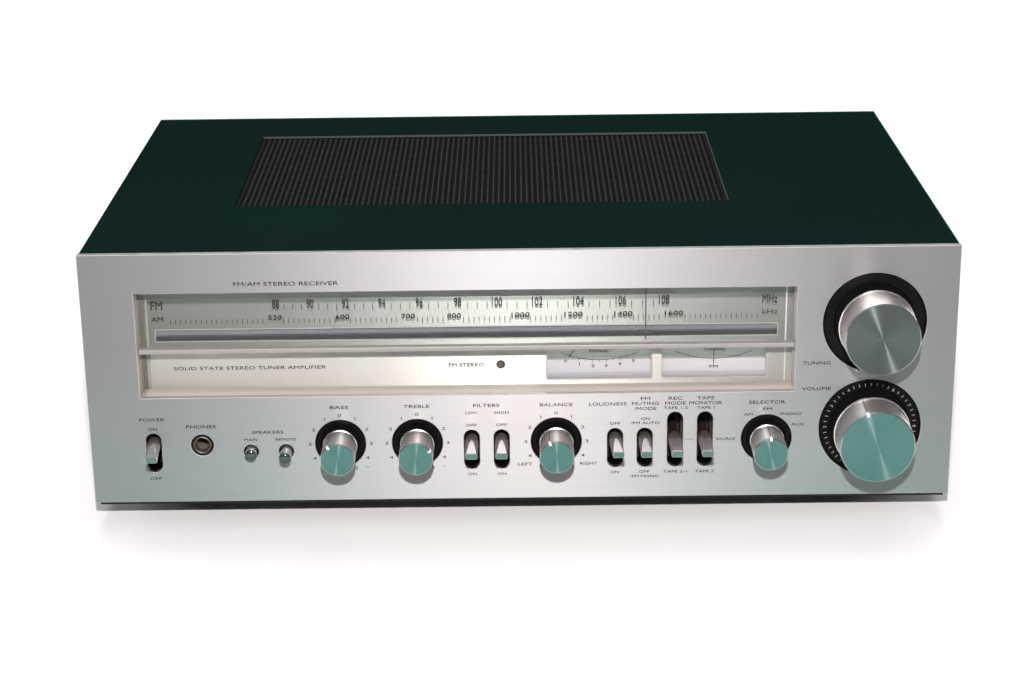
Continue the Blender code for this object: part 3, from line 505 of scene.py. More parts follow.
def letters(bm, text, x, y, cap, width=None, stretch=1.45, turn=0.0, weight=0.0):
    """Adds flat lettering in local XY, its capitals `cap` millimetres high. It is fitted to a width
    or else stretched sideways, and made bolder by a second copy a little beside it."""
    mesh = text_mesh(text)
    lefts = [v.co.x for v in mesh.vertices]
    left, right = min(lefts), max(lefts)
    scale = cap / CAP_HEIGHT
    across = scale * stretch if width is None else width / (right - left)
    matrix = Matrix.Translation(Vector((x, y, 0)) * MM) @ rotation(turn, "Z")
    matrix = matrix @ Matrix.Diagonal((across * MM, scale * MM, MM, 1.0))
    matrix = matrix @ Matrix.Translation((-(left + right) / 2, -CAP_HEIGHT / 2, 0))
    mesh.transform(matrix)
    if weight:
        shift = Vector((0.5 * weight, weight, 0)) * MM
        mesh.transform(Matrix.Translation(-0.5 * shift))
        bm.from_mesh(mesh)
        mesh.transform(Matrix.Translation(shift))
    bm.from_mesh(mesh)
    bpy.data.meshes.remove(mesh)


def stroke(bm, x0, y0, x1, y1, width):
    """Adds a flat straight line in local XY."""
    start, end = Vector((x0, y0, 0)), Vector((x1, y1, 0))
    side = Vector((y0 - y1, x1 - x0, 0)).normalized() * width / 2
    corners = [start + side, start - side, end - side, end + side]
    bm.faces.new([bm.verts.new(corner * MM) for corner in corners])


def arc(bm, x, y, radius, start, end, width, steps=40):
    """Adds a flat arc in local XY, its angles in degrees clockwise from straight up."""
    rows = []
    for i in range(steps + 1):
        angle = start + (end - start) * i / steps
        edges = (on_dial(x, y, radius + side * width / 2, angle) for side in (1, -1))
        rows.append([bm.verts.new(Vector((*edge, 0)) * MM) for edge in edges])
    for a, b in zip(rows, rows[1:]):
        bm.faces.new((a[0], b[0], b[1], a[1]))


def on_dial(x, y, radius, degrees):
    """A place round a centre, at an angle in degrees clockwise from straight up."""
    angle = math.radians(degrees)
    return x + radius * math.sin(angle), y + radius * math.cos(angle)


# ------------------------ front panel

WINDOW_LOW, WINDOW_HIGH = span("dial_window")
WINDOW_MARGIN, RING_MARGIN = 0.3, 0.25
SLOT_BOTTOM, SHORT_SLOT_TOP, LONG_SLOT_TOP, SLOT_HALF_WIDTH = 18.4, 42.3, 51.9, 4.5
BUTTON_HOLE, SOCKET_HOLE = 4.4, 6.5
PANEL_CORNER, CHAMFER = 0.5, 0.32


def front_panel():
    """The thick sheet with its openings, a softer chamfer round them and plainer cut edges."""
    half = PANEL_WIDTH / 2
    left, right = WINDOW_LOW.x - WINDOW_MARGIN, WINDOW_HIGH.x + WINDOW_MARGIN
    bottom, top = WINDOW_LOW.z - WINDOW_MARGIN, WINDOW_HIGH.z + WINDOW_MARGIN
    loops = [rectangle(-half, half, 0, PANEL_HEIGHT, PANEL_CORNER), rectangle(left, right, bottom, top)]
    for name in KNOBS:
        x, z, radius = spot(f"{name}_ring")
        loops.append(circle(x, z, radius + RING_MARGIN, 96))
    for name in LEVERS:
        x = spot(f"{name}_lever")[0]
        left, right = x - SLOT_HALF_WIDTH, x + SLOT_HALF_WIDTH
        top = LONG_SLOT_TOP if name in THREE_WAY else SHORT_SLOT_TOP
        loops.append(rectangle(left, right, SLOT_BOTTOM, top, SLOT_HALF_WIDTH, 14))
    for name in BUTTONS:
        x, z, _ = spot(f"{name}_speaker_button")
        loops.append(circle(x, z, BUTTON_HOLE, 48))
    x, z, _ = spot("phones_jack")
    loops.append(circle(x, z, SOCKET_HOLE, 48))
    sheet = flat_outline("panel_outline", loops, PANEL_THICKNESS, CHAMFER)
    flat, chamfer, edge = range(3)
    for face in sheet.faces:
        slant = abs(face.normal.z)
        face.material_index = flat if slant >= 0.95 else (chamfer if slant > 0.3 else edge)
    looks = [PANEL, PANEL_CHAMFER, PANEL_EDGE]
    place = facing_front(0, PANEL_THICKNESS / 2, 0)
    piece("silver_panel", sheet, looks, ["front_panel"], place)


LABELS = (
    # text, x, height, size of the capitals, width
    ("FM/AM STEREO RECEIVER", -129.6, 131.1, 2.2, 58.3),
    ("POWER", -209.4, 50.7, 1.85, 14.4),
    ("ON", -209.2, 44.9, 1.6, 5.2),
    ("OFF", -209.2, 14.6, 1.6, 6.6),
    ("PHONES", -181.6, 46.2, 1.85, 17.0),
    ("SPEAKERS", -143.9, 42.4, 1.7, 17.9),
    ("MAIN", -153.8, 37.9, 1.5, 7.4),
    ("REMOTE", -133.8, 37.9, 1.5, 11.6),
    ("BASS", -102.8, 57.0, 1.85, 10.4),
    ("TREBLE", -58.9, 57.1, 1.85, 14.6),
    ("FILTERS", -19.3, 57.2, 1.85, 14.8),
    ("LOW", -27.8, 52.8, 1.5, 6.8),
    ("HIGH", -10.7, 52.8, 1.5, 8.0),
    ("OFF", -27.9, 45.3, 1.5, 6.0),
    ("OFF", -10.8, 45.3, 1.5, 6.0),
    ("ON", -27.9, 15.2, 1.5, 4.9),
    ("ON", -10.9, 15.2, 1.5, 4.9),
    ("BALANCE", 20.3, 57.2, 1.85, 18.6),
    ("LEFT", 2.4, 21.0, 1.6, 8.2),
    ("RIGHT", 38.5, 21.0, 1.6, 9.6),
    ("LOUDNESS", 49.5, 57.2, 1.85, 21.4),
    ("OFF", 53.6, 45.4, 1.5, 6.0),
    ("ON", 53.5, 15.5, 1.5, 4.9),
    ("FM", 70.8, 60.3, 1.85, 5.4),
    ("MUTING", 70.8, 57.3, 1.85, 15.3),
    ("/MODE", 70.8, 54.2, 1.85, 12.6),
    ("ON", 70.8, 48.0, 1.5, 4.9),
    ("/FM AUTO", 70.7, 45.5, 1.5, 16.4),
    ("OFF", 70.4, 15.5, 1.5, 6.0),
    ("/FM MONO", 70.5, 12.7, 1.5, 16.4),
    ("REC", 87.9, 60.3, 1.85, 8.0),
    ("MODE", 87.8, 57.3, 1.85, 11.8),
    ("TAPE 1-2", 88.0, 54.5, 1.5, 13.4),
    ("TAPE 2-1", 88.0, 15.4, 1.5, 13.4),
    ("TAPE", 105.0, 60.3, 1.85, 9.8),
    ("MONITOR", 105.0, 57.3, 1.85, 18.6),
    ("TAPE 1", 105.0, 54.4, 1.5, 9.8),
    ("TAPE 2", 104.8, 15.4, 1.5, 10.6),
    ("SOURCE", 116.6, 35.2, 1.4, 10.9),
    ("TUNING", 167.0, 80.5, 1.85, 15.6),
    ("VOLUME", 167.4, 65.1, 1.85, 16.4),
    ("SELECTOR", 139.7, 57.3, 1.85, 20.6),
    ("FM", 140.1, 53.2, 1.5, 4.9),
    ("AM", 129.2, 49.9, 1.5, 4.9),
    ("PHONO", 153.4, 50.0, 1.5, 12.0),
    ("AUX", 157.2, 43.6, 1.5, 7.4),
)
PRINT_LIFT = 0.03
DIGIT_RADIUS, DIGIT_SPACING = 17.4, 30
SIGN_RADIUS, SIGN_ANGLE = 21.0, 134
SOURCE_LINE = (93.4, 35.2, 99.0, 35.2)


def panel_printing():
    """The labels, the digits round the tone knobs and the short line that points to SOURCE."""
    bm = bmesh.new()
    for text, x, z, cap, width in LABELS:
        letters(bm, text, x, z, cap, width, weight=0.09)
    for name in TONE_KNOBS:
        x, z, _ = spot(f"{name}_ring")
        for step in range(-5, 6):
            place = on_dial(x, z, DIGIT_RADIUS, step * DIGIT_SPACING)
            letters(bm, str(abs(step)), *place, 1.7, stretch=1.9, weight=0.07)
        if name != "balance":
            for sign, text in ((-1, "-"), (1, "+")):
                letters(bm, text, *on_dial(x, z, SIGN_RADIUS, sign * SIGN_ANGLE), 1.5)
    stroke(bm, *SOURCE_LINE, 0.25)
    piece("panel_printing", bm, [INK], place=facing_front(0, -PRINT_LIFT, 0))


# ------------------------ controls

SHAFT_HOLE, RING_BACK = 3.6, -5.9
LARGE_RING, LARGE_RING_RIM, SMALL_RING_RIM = 20.0, 22.8, 0.80
SCALE_RADIUS, SCALE_TICKS, SCALE_DEPTH = 25.4, (24.6, 26.4), 1.26
SCALE_START, SCALE_PITCH, SCALE_MARKS = -150, 7.5, 41


def control_ring(name):
    """The black dish behind a knob, with the volume scale on the large one's flat rim."""
    x, z, radius = spot(f"{name}_ring")
    large = radius > LARGE_RING
    rim = LARGE_RING_RIM if large else SMALL_RING_RIM * radius
    profile = (
        (radius, -0.3),
        (radius - 0.25, -0.05),
        (radius - 0.6, -0.1),
        (radius - 1.0, -1.3),
        (rim, -1.5),
        (rim - 0.8, -3.0),
        (0.55 * radius, -3.4),
        (SHAFT_HOLE, -3.4),
        (SHAFT_HOLE, RING_BACK),
        (radius, RING_BACK),
    )
    bm = spin(bmesh.new(), profile, 96 if large else 64, closed=True)
    piece(f"{name}_dish", bm, [BLACK], [f"{name}_ring"], facing_front(x, 0, z))
    if name == "volume":
        volume_scale(x, z)


def volume_scale(x, z):
    """Numbered steps from 0 to 10, with three ticks between neighbours."""
    bm = bmesh.new()
    for i in range(SCALE_MARKS):
        degrees = SCALE_START + SCALE_PITCH * i
        if i % 4 == 0:
            place = on_dial(0, 0, SCALE_RADIUS, degrees)
            letters(bm, str(i // 4), *place, 1.7, stretch=1.1, turn=-degrees)
        else:
            inner, outer = (on_dial(0, 0, radius, degrees) for radius in SCALE_TICKS)
            stroke(bm, *inner, *outer, 0.3)
    piece("volume_scale", bm, [RING_INK], place=facing_front(x, SCALE_DEPTH, z))


# Radius of a knob's face, and how far its base stands out of the panel
KNOB_SHAPES = {"tuning": (20.8, 7.0), "volume": (20.9, 8.5)}
SMALL_KNOB_SHAPE = (9.75, 2.6)
LARGE_KNOB = 15.0
BAND, SIDE, FACE, BACK, INDEX, EDGE = range(6)


def knob(name):
    """A turned knob: a lip and a groove at the base, a tapering side, a chamfer and a spun face."""
    x, z, base = spot(f"{name}_knob")
    reach = -span(f"{name}_knob")[0].y
    face, foot = KNOB_SHAPES.get(name, SMALL_KNOB_SHAPE)
    large = base > LARGE_KNOB
    groove = 0.45 if large else 0.3
    profile = [
        (0, reach - 0.05, FACE),
        (face - 0.55, reach - 0.05, EDGE),
        (face, reach - 0.55, SIDE),
        (base - groove, foot + 2.1, BACK),
        (base - 2 * groove, foot + 1.8, BACK),
        (base - 2 * groove, foot + 1.4, BAND),
        (base - 0.15, foot + 1.2, BAND),
        (base, foot + 0.9, BAND),
        (base, foot + 0.15, BACK),
        (base - 0.3, foot, BACK),
        (0.55 * base, foot, BACK),
        (0.55 * base, -2.0, BACK),
        (3.0, -2.0, BACK),
        (3.0, -3.2, BACK),
        (0, -3.2, BACK),
    ]
    bm = spin(bmesh.new(), profile, 128 if large else 80)
    if name in INDEX_ANGLES:
        lean = math.atan((base - groove - face) / (reach - foot - 3.0))
        turn = rotation(-INDEX_ANGLES[name], "Z")
        knob_index(bm, turn, lean, 0.8 if large else 0.6, face, foot, reach)
    # The faces carry painted reflection, and the tuning knob's side painted light
    turned = (SPUN_SIDE_PAINTED_LIGHT, TUNING_FACE_PAINTED_REFLECTION) if name == "tuning" else (SPUN_SIDE, FACE_PAINTED_REFLECTION)
    looks = [BRIGHT, *turned, STEEL_BLACK, WHITE, RIM_PAINTED_REFLECTION]
    body = "tuning" if name == "tuning" else f"{name}_knob"
    place = facing_front(x, 0, z)
    piece(f"{name}_knob_turned", bm, looks, [f"{name}_knob"], place, body)


def knob_index(bm, turn, lean, half, face, foot, reach):
    """Adds the index: white over the chamfer, down the side a black strip as painted shade in place of
    a groove, and white at the face's edge.
    """
    edge = Matrix.Translation((0, face * MM, (reach - 0.5) * MM))
    tilt = turn @ edge @ Matrix.Rotation(lean, 4, "X")
    block(bm, (-half, -0.5, -2.6), (half, 0.10, 0.25), INDEX, tilt)
    # Painted shade: a thin black strip down the side stands in for the index groove
    block(bm, (-0.16, -0.5, foot + 2.4 - reach), (0.16, 0.03, -2.7), BACK, tilt)
    block(bm, (-half, face - 1.7, reach - 0.3), (half, face - 0.2, reach), INDEX, turn)


# Distances along a lever are from its pivot, which is this far behind the panel's face
LEVER_PIVOT, LEVER_BACK = 24.0, -4.4
LEVER_ROOT, LEVER_FLAT_FROM = 3.6, 31.0
LEVER_TIP_HALF = (2.85, 1.75)
# How far the ends of two of them lean sideways
LEVER_LEAN = {"power": 1.9, "loudness": 1.1}
LEVER_END_CHAMFER = 0.18
LEVER_NECK, LEVER_NECK_END, LEVER_SHOULDER = 2.3, 17.6, 3.0
LEVER_FLAT_ROWS = (0, 0.05, 0.12, 0.2, 0.3, 0.45, 0.6, 0.75, 0.91, 1)
LEVER_STEPS = 56


def lever_outline(along, end, lean):
    """The points round a lever at a distance from its pivot: a circle, cut flat above and below."""
    share = max(0.0, (along - LEVER_FLAT_FROM) / (end - LEVER_FLAT_FROM))
    radius = LEVER_ROOT + (math.hypot(*LEVER_TIP_HALF) - LEVER_ROOT) * share
    half = LEVER_ROOT + (LEVER_TIP_HALF[1] - LEVER_ROOT) * share
    if along < LEVER_NECK_END + LEVER_SHOULDER:
        rise = max(0.0, 1 - (along - LEVER_NECK_END) / LEVER_SHOULDER)
        radius = half = max(LEVER_NECK, LEVER_ROOT * math.sqrt(max(0.0, 1 - rise * rise)))
    if along == end:
        radius, half = radius - LEVER_END_CHAMFER, half - LEVER_END_CHAMFER
    aside = lean * max(0.0, along - LEVER_PIVOT) / (end - LEVER_PIVOT)
    points = []
    for i in range(LEVER_STEPS):
        angle = 2 * math.pi * i / LEVER_STEPS
        up = max(-half, min(half, radius * math.sin(angle)))
        points.append(Vector((radius * math.cos(angle) + aside, up, along)) * MM)
    return points


def lever(name):
    """A bat lever, lofted from a round root to a flat square end, about its own pivot."""
    body = f"{name}_lever"
    x, z, _ = spot(body)
    end = LEVER_PIVOT - span(body)[0].y
    flat_end = end - LEVER_END_CHAMFER
    flats = [LEVER_FLAT_FROM + share * (flat_end - LEVER_FLAT_FROM) for share in LEVER_FLAT_ROWS]
    turns = [math.radians(15 * i) for i in range(7)]
    shoulder = [LEVER_NECK_END + LEVER_SHOULDER * (1 - math.cos(turn)) for turn in turns]
    bright, facet, side, tip, neck = range(5)
    bm = bmesh.new()
    rows = []
    for along in [LEVER_BACK, LEVER_NECK_END - 0.1, *shoulder, *flats, end]:
        outline = lever_outline(along, end, LEVER_LEAN.get(name, 0.0))
        rows.append([bm.verts.new(point) for point in outline])
    for number, (a, b) in enumerate(zip(rows, rows[1:])):
        for i in range(LEVER_STEPS):
            j = (i + 1) % LEVER_STEPS
            face = bm.faces.new((a[i], a[j], b[j], b[i]))
            level = abs(b[i].co.y - b[j].co.y) < 1e-7
            if number >= len(rows) - 3:
                face.material_index = bright
            elif level and number >= 2 + len(shoulder):
                face.material_index = facet
            else:
                face.material_index = neck if number < 2 else side
    bm.faces.new(rows[-1]).material_index = tip
    bm.faces.new(list(reversed(rows[0]))).material_index = neck
    bmesh.ops.recalc_face_normals(bm, faces=bm.faces)
    # The end face carries the painted teal reflection
    looks = [CHROME, SMOKED_FLAT if name in THREE_WAY else CHROME, SMOKED, TIP_PAINTED_REFLECTION, SWITCH]
    place = facing_front(x, LEVER_PIVOT, z)
    piece(f"{name}_bat", bm, looks, [body], place, body, sharp=25)


BUTTON_DOME = 1.4


def button(name):
    """A dome painted teal as a painted reflection, on a straight chrome barrel."""
    body = f"{name}_speaker_button"
    x, z, radius = spot(body)
    low, high = span(body)
    reach, back = -low.y, -high.y
    turns = [0.2 * i for i in range(8)]
    dome = [(radius * math.sin(turn), reach - BUTTON_DOME * (1 - math.cos(turn)), 0) for turn in turns]
    barrel = [(radius, reach - BUTTON_DOME - 0.1, 1), (radius, 2.0, 1), (radius, back, 1), (0, back, 1)]
    bm = spin(bmesh.new(), dome + barrel, 48)
    place = facing_front(x, 0, z)
    piece(f"{name}_button_cap", bm, [DOME_PAINTED_REFLECTION, CHROME], [body], place, body)


PLUG_BORE = 3.3


def phones_socket():
    """A black flange, a brass nut and the bore behind it."""
    x, z, radius = spot("phones_jack")
    flange, nut, bore = range(3)
    profile = (
        (0, -26.0, bore),
        (PLUG_BORE, -26.0, bore),
        (PLUG_BORE, -14.0, bore),
        (PLUG_BORE, -3.0, nut),
        (3.9, -2.2, nut),
        (4.3, -0.35, nut),
        (4.7, -0.1, nut),
        (5.1, -0.35, nut),
        (radius - 0.95, -0.5, nut),
        (radius - 0.75, 0.0, flange),
        (radius - 0.2, 0.0, flange),
        (radius, -0.4, flange),
    )
    bm = spin(bmesh.new(), profile, 56)
    bmesh.ops.recalc_face_normals(bm, faces=bm.faces)
    looks = [BLACK, BRASS, BORE]
    piece("phones_socket", bm, looks, ["phones_jack"], facing_front(x, 0, z))


# ------------------------ dial and meters

PLATE_FRONT = span("dial_plate")[0].y
PRINT_DEPTH = 10.6
FM_LOWEST, FM_STEPS, FM_START, FM_SPACING, FM_WIDENING = 88, 41, -137, 9.55, 0.0687
FM_ROW, FM_TICKS, FM_DIGIT_WIDTH = 115.7, (112.3, 115.5), 1.95
AM_NUMERALS = (
    # frequency in kHz, place along the dial
    (530, -137.7),
    (600, -99.6),
    (700, -62.7),
    (800, -36.8),
    (1000, 0.7),
    (1200, 30.5),
    (1400, 58.6),
    (1600, 87.1),
)
AM_START, AM_END, AM_PITCH = -196.7, 135.5, 2.9
AM_ROW, AM_TICKS, AM_DIGIT_WIDTH = 107.6, (104.2, 106.9), 2.55
TICK_WIDTH, DIGIT_CLEARANCE = 0.36, 1.4


def fm_place(frequency):
    """Where a frequency in MHz stands along the dial: the spacing widens upwards."""
    above = frequency - FM_LOWEST
    return FM_START + FM_SPACING * above + FM_WIDENING * above * above


def fm_scale(bm):
    for step in range(FM_STEPS):
        frequency = FM_LOWEST + step / 2
        x = fm_place(frequency)
        if step % 4 == 0:
            digits = str(int(frequency))
            letters(bm, digits, x, FM_ROW, 5.2, FM_DIGIT_WIDTH * len(digits), weight=0.2)
        else:
            stroke(bm, x, FM_TICKS[0], x, FM_TICKS[1], TICK_WIDTH)


def am_scale(bm):
    """The lower scale, whose ticks leave room for its numerals."""
    for number, x in AM_NUMERALS:
        digits = str(number)
        letters(bm, digits, x, AM_ROW, 2.7, AM_DIGIT_WIDTH * len(digits), weight=0.27)
    x = AM_START
    while x < AM_END:
        if all(abs(x - place) > DIGIT_CLEARANCE * len(str(number)) for number, place in AM_NUMERALS):
            stroke(bm, x, AM_TICKS[0], x, AM_TICKS[1], TICK_WIDTH)
        x += AM_PITCH


def dial_printing():
    """Both scales on the clear window, and the words on the plate behind it."""
    bm = bmesh.new()
    fm_scale(bm)
    am_scale(bm)
    letters(bm, "FM", -204.1, 115.3, 5.0, 6.6, weight=0.16)
    letters(bm, "AM", -204.1, 107.3, 2.7, 6.8, weight=0.2)
    letters(bm, "MHz", 140.9, 115.7, 5.2, 8.4, weight=0.16)
    letters(bm, "kHz", 141.1, 107.9, 3.0, 8.6)
    piece("dial_printing", bm, [INK], place=facing_front(0, PRINT_DEPTH, 0))

    bm = bmesh.new()
    letters(bm, "FM STEREO", -30.6, 75.9, 2.0, 19.9, weight=0.2)
    letters(bm, "SOLID STATE STEREO TUNER AMPLIFIER", -154.0, 75.6, 1.9, 87.0, weight=0.1)
    piece("plate_printing", bm, [INK], place=facing_front(0, PLATE_FRONT - 0.05, 0))


METER_ARCS = {
    # middle of the arc, its height, its radius, and the angles of its ends from straight down
    "signal": (45.4, 132.0, 56.0, -23.4, 23.8),
    "tuning": (111.0, 130.7, 54.6, -24.0, 24.0),
}
# Places of the signal meter's digits, from 0 to 5
SIGNAL_DIGITS = ((26.2, 75.4), (34.1, 73.5), (41.8, 72.4), (49.4, 72.4), (57.2, 73.5), (65.0, 75.3))
SIGNAL_STEPS, SIGNAL_MARGIN, SIGNAL_TICKS = 10, 3.5, (1.9, 1.2)
TUNING_TICK_ANGLE, TUNING_TICK = 15, 1.5
CROSS_HALF_WIDTH, CROSS_HEIGHT, CROSS_ENDS = 1.2, 76.1, (72.9, 80.2)
METER_PRINT_DEPTH = 1.25


def meter_tick(bm, kind, angle, length):
    x, z, radius = METER_ARCS[kind][:3]
    stroke(bm, *on_dial(x, z, radius, angle), *on_dial(x, z, radius + length, angle), 0.25)


def meter_printing(kind):
    """A meter's arc with its ticks and words, just behind the needle."""
    x, z, radius, left, right = METER_ARCS[kind]
    bm = bmesh.new()
    arc(bm, x, z, radius, 180 - left, 180 - right, 0.3)
    if kind == "signal":
        for number, place in enumerate(SIGNAL_DIGITS):
            letters(bm, str(number), *place, 1.7, stretch=1.6, weight=0.1)
        pitch = (right - left - 2 * SIGNAL_MARGIN) / SIGNAL_STEPS
        for i in range(SIGNAL_STEPS + 1):
            meter_tick(bm, kind, 180 - left - SIGNAL_MARGIN - i * pitch, SIGNAL_TICKS[i % 2])
        letters(bm, "SIGNAL", 45.3, 81.4, 1.7, 11.4, weight=0.1)
    else:
        for side in (1, -1):
            meter_tick(bm, kind, 180 + side * TUNING_TICK_ANGLE, TUNING_TICK)
        stroke(bm, x - CROSS_HALF_WIDTH, CROSS_HEIGHT, x + CROSS_HALF_WIDTH, CROSS_HEIGHT, 0.3)
        stroke(bm, x, CROSS_ENDS[0], x, CROSS_ENDS[1], 0.3)
        letters(bm, "TUNING", x, 81.6, 1.7, 12.4, weight=0.1)
        letters(bm, "FM", x, 71.2, 1.7, 4.8, weight=0.1)
    depth = span(f"{kind}_needle")[0].y + METER_PRINT_DEPTH
    piece(f"{kind}_scale", bm, [INK], place=facing_front(0, depth, 0))


LEFT_STRIP, RIGHT_STRIP, STRIP_HEIGHTS = (-211.6, -210.4), (150.5, 151.3), (64.2, 125.4)
SLOT_EDGE, SLOT_EDGE_WIDTH = (-206.9, 146.7, 91.7, 99.4), 0.5
SHADE_HEIGHTS, SHADE_DEPTH = (89.0, 93.7), 20.3
METER_HALF_WIDTH, METER_RIM_HEIGHTS, METER_RIM_WIDTH = 30.5, (66.3, 89.0), 0.8
LEDGE_HALF_WIDTH, LEDGE_HEIGHTS, LEDGE_THICKNESS, LEDGE_DEPTH = 29.4, (66.9, 68.4), 0.4, 4.9


def plate_strips():
    """Light strips on both sides of the scale."""
    bottom, top = STRIP_HEIGHTS
    bm = bmesh.new()
    for material, (left, right) in enumerate((LEFT_STRIP, RIGHT_STRIP)):
        block(bm, (left, bottom, -0.2), (right, top, 0.4), material)
    place = facing_front(0, PLATE_FRONT - 0.2, 0)
    piece("plate_strips", bm, [SOFT_STRIP, PALE_STRIP], place=place)


def slot_rim():
    """The outline of the pointer's slot."""
    left, right, bottom, top = SLOT_EDGE
    width = SLOT_EDGE_WIDTH
    inner = rectangle(left + width, right - width, bottom + width, top - width, 0.6)
    sheet = flat_outline("slot_rim", [rectangle(*SLOT_EDGE, 0.9), inner], 0.5, 0.1)
    place = facing_front(0, PLATE_FRONT - 0.1, 0)
    piece("slot_rim", sheet, [STRIP], place=place)


def slot_shade():
    """Painted shade: a dark sheet below the pointer's rail, and the strip between it and the rail."""
    low, high = span("pointer_rail")
    bottom, middle = SHADE_HEIGHTS
    bm = bmesh.new()
    # Painted shade: a dark sheet under the rail
    block(bm, (low.x, bottom, 0), (high.x, middle, 0.2))
    block(bm, (low.x, middle, 0), (high.x, low.z, 0.2), 1)
    piece("slot_shade", bm, [SHADE, RAIL], place=facing_front(0, SHADE_DEPTH, 0))


def meter_rim(kind):
    """The rim of a meter's window, and the ledge at the foot of its face."""
    middle = spot(f"{kind}_meter")[0]
    bottom, top = METER_RIM_HEIGHTS
    outer = rectangle(middle - METER_HALF_WIDTH, middle + METER_HALF_WIDTH, bottom, top, 1.3)
    half = METER_HALF_WIDTH - METER_RIM_WIDTH
    inner = rectangle(middle - half, middle + half, bottom + METER_RIM_WIDTH, top - 0.4, 0.8)
    sheet = flat_outline(f"{kind}_rim", [outer, inner], 0.6, 0.15)
    place = facing_front(0, PLATE_FRONT - 0.15, 0)
    piece(f"{kind}_window_rim", sheet, [STRIP], place=place)

    bottom, top = LEDGE_HEIGHTS
    left, right = middle - LEDGE_HALF_WIDTH, middle + LEDGE_HALF_WIDTH
    bm = bmesh.new()
    block(bm, (left, bottom, 0), (right, top, LEDGE_THICKNESS))
    place = facing_front(0, PLATE_FRONT + LEDGE_DEPTH, 0)
    piece(f"{kind}_ledge", bm, [LEDGE], place=place)


# ------------------------ cabinet

UPRIGHT = Matrix.Translation(at(0, 0, 0))
RIB_PITCH, BEAD_PITCH = 3.38, 2.25
VENT_FRAME = 2.0
BEAD_HALF_WIDTH, BEAD_HALF_LENGTH, BEAD_HEIGHT = 0.27, 0.42, 0.45


def spread(low, high, pitch):
    """Places at a pitch between two limits, with equal margins."""
    count = int((high - low) / pitch)
    margin = (high - low - count * pitch) / 2
    return [low + margin + i * pitch for i in range(count + 1)]


def vent():
    """The woven grille in the top: ribs along the depth, crossed by thin wires, with beads as painted
    glints.
    """
    low, high = span("vent_grille")
    top = high.z - 0.6
    ribs, wires = spread(low.x, high.x, RIB_PITCH), spread(low.y, high.y, BEAD_PITCH)
    bm = bmesh.new()
    for x in ribs:
        block(bm, (x - 0.8, low.y, top - 1.0), (x + 0.8, high.y, top - 0.2))
    for y in wires:
        block(bm, (low.x, y - 0.5, top - 1.3), (high.x, y + 0.5, top - 0.5))
    for left, right, front, back in (
        (low.x, high.x, low.y, low.y + VENT_FRAME),
        (low.x, high.x, high.y - VENT_FRAME, high.y),
        (low.x, low.x + VENT_FRAME, low.y, high.y),
        (high.x - VENT_FRAME, high.x, low.y, high.y),
    ):
        block(bm, (left, front, top - 1.4), (right, back, top + 0.1))
    piece("vent_mesh", bm, [VENT_BLACK], ["vent_grille"], UPRIGHT)

    # Beads at the crossings, coloured paler: painted glints
    verts, faces = [], []
    for x in ribs:
        for y in wires:
            first = len(verts)
            for dx, dy in ((-1, -1), (1, -1), (1, 1), (-1, 1)):
                corner = (x + dx * BEAD_HALF_WIDTH, y + dy * BEAD_HALF_LENGTH, top - 0.2)
                verts.append(Vector(corner) * MM)
            verts.append(Vector((x, y, top - 0.2 + BEAD_HEIGHT)) * MM)
            faces += [(first + i, first + (i + 1) % 4, first + 4) for i in range(4)]
    beads = bpy.data.meshes.new("vent_beads")
    beads.from_pydata(verts, [], faces)
    piece("vent_beads", beads, [VENT_BEAD_PAINTED_GLINT], place=UPRIGHT)


def top_edges():
    """Painted highlights: thin pale strips on the back and right of the grille's opening and of the cover.
    """
    low, high = span("vent_grille")
    bottom, top = high.z - 1.2, high.z + 0.62
    bm = bmesh.new()
    block(bm, (low.x - 0.3, high.y + 0.05, bottom), (high.x + 0.3, high.y + 0.3, top))
    block(bm, (high.x + 0.05, low.y, bottom), (high.x + 0.3, high.y, top))
    piece("vent_edge", bm, [VENT_EDGE_PAINTED_HIGHLIGHT], place=UPRIGHT)

    low, high = span("cabinet_cover")
    bottom, top = high.z - 0.4, high.z + 0.05
    bm = bmesh.new()
    block(bm, (low.x + 1.0, high.y - 2.4, bottom), (high.x - 1.0, high.y - 0.2, top))
    block(bm, (high.x - 1.2, low.y + 1.0, bottom), (high.x - 0.5, high.y - 0.2, top))
    piece("cover_edge", bm, [COVER_EDGE_PAINTED_HIGHLIGHT], place=UPRIGHT)


def screw(bm, x, y, radius):
    """Adds a domed cross-head screw that stands out of local Z = 0."""
    dome = ((0, 1.3), (0.5 * radius, 1.15), (0.85 * radius, 0.7), (radius, 0.1), (radius, -0.3), (0, -0.3))
    spin(bm, dome, 24, centre=(x, y))
    for degrees in (0, 90):
        turn = Matrix.Translation((x * MM, y * MM, 0)) @ rotation(degrees, "Z")
        block(bm, (-0.55 * radius, -0.3, 0.9), (0.55 * radius, 0.3, 1.32), 1, turn)


SIDE_SCREW_DEPTHS, SIDE_SCREW_HEIGHT = (60.0, 250.0), 14.0
REAR = span("rear_panel")[1].y
REAR_SCREWS = ((-236, 8), (-236, 138), (236, 8), (236, 138), (0, 140), (-120, 140), (120, 140), (10, 12))


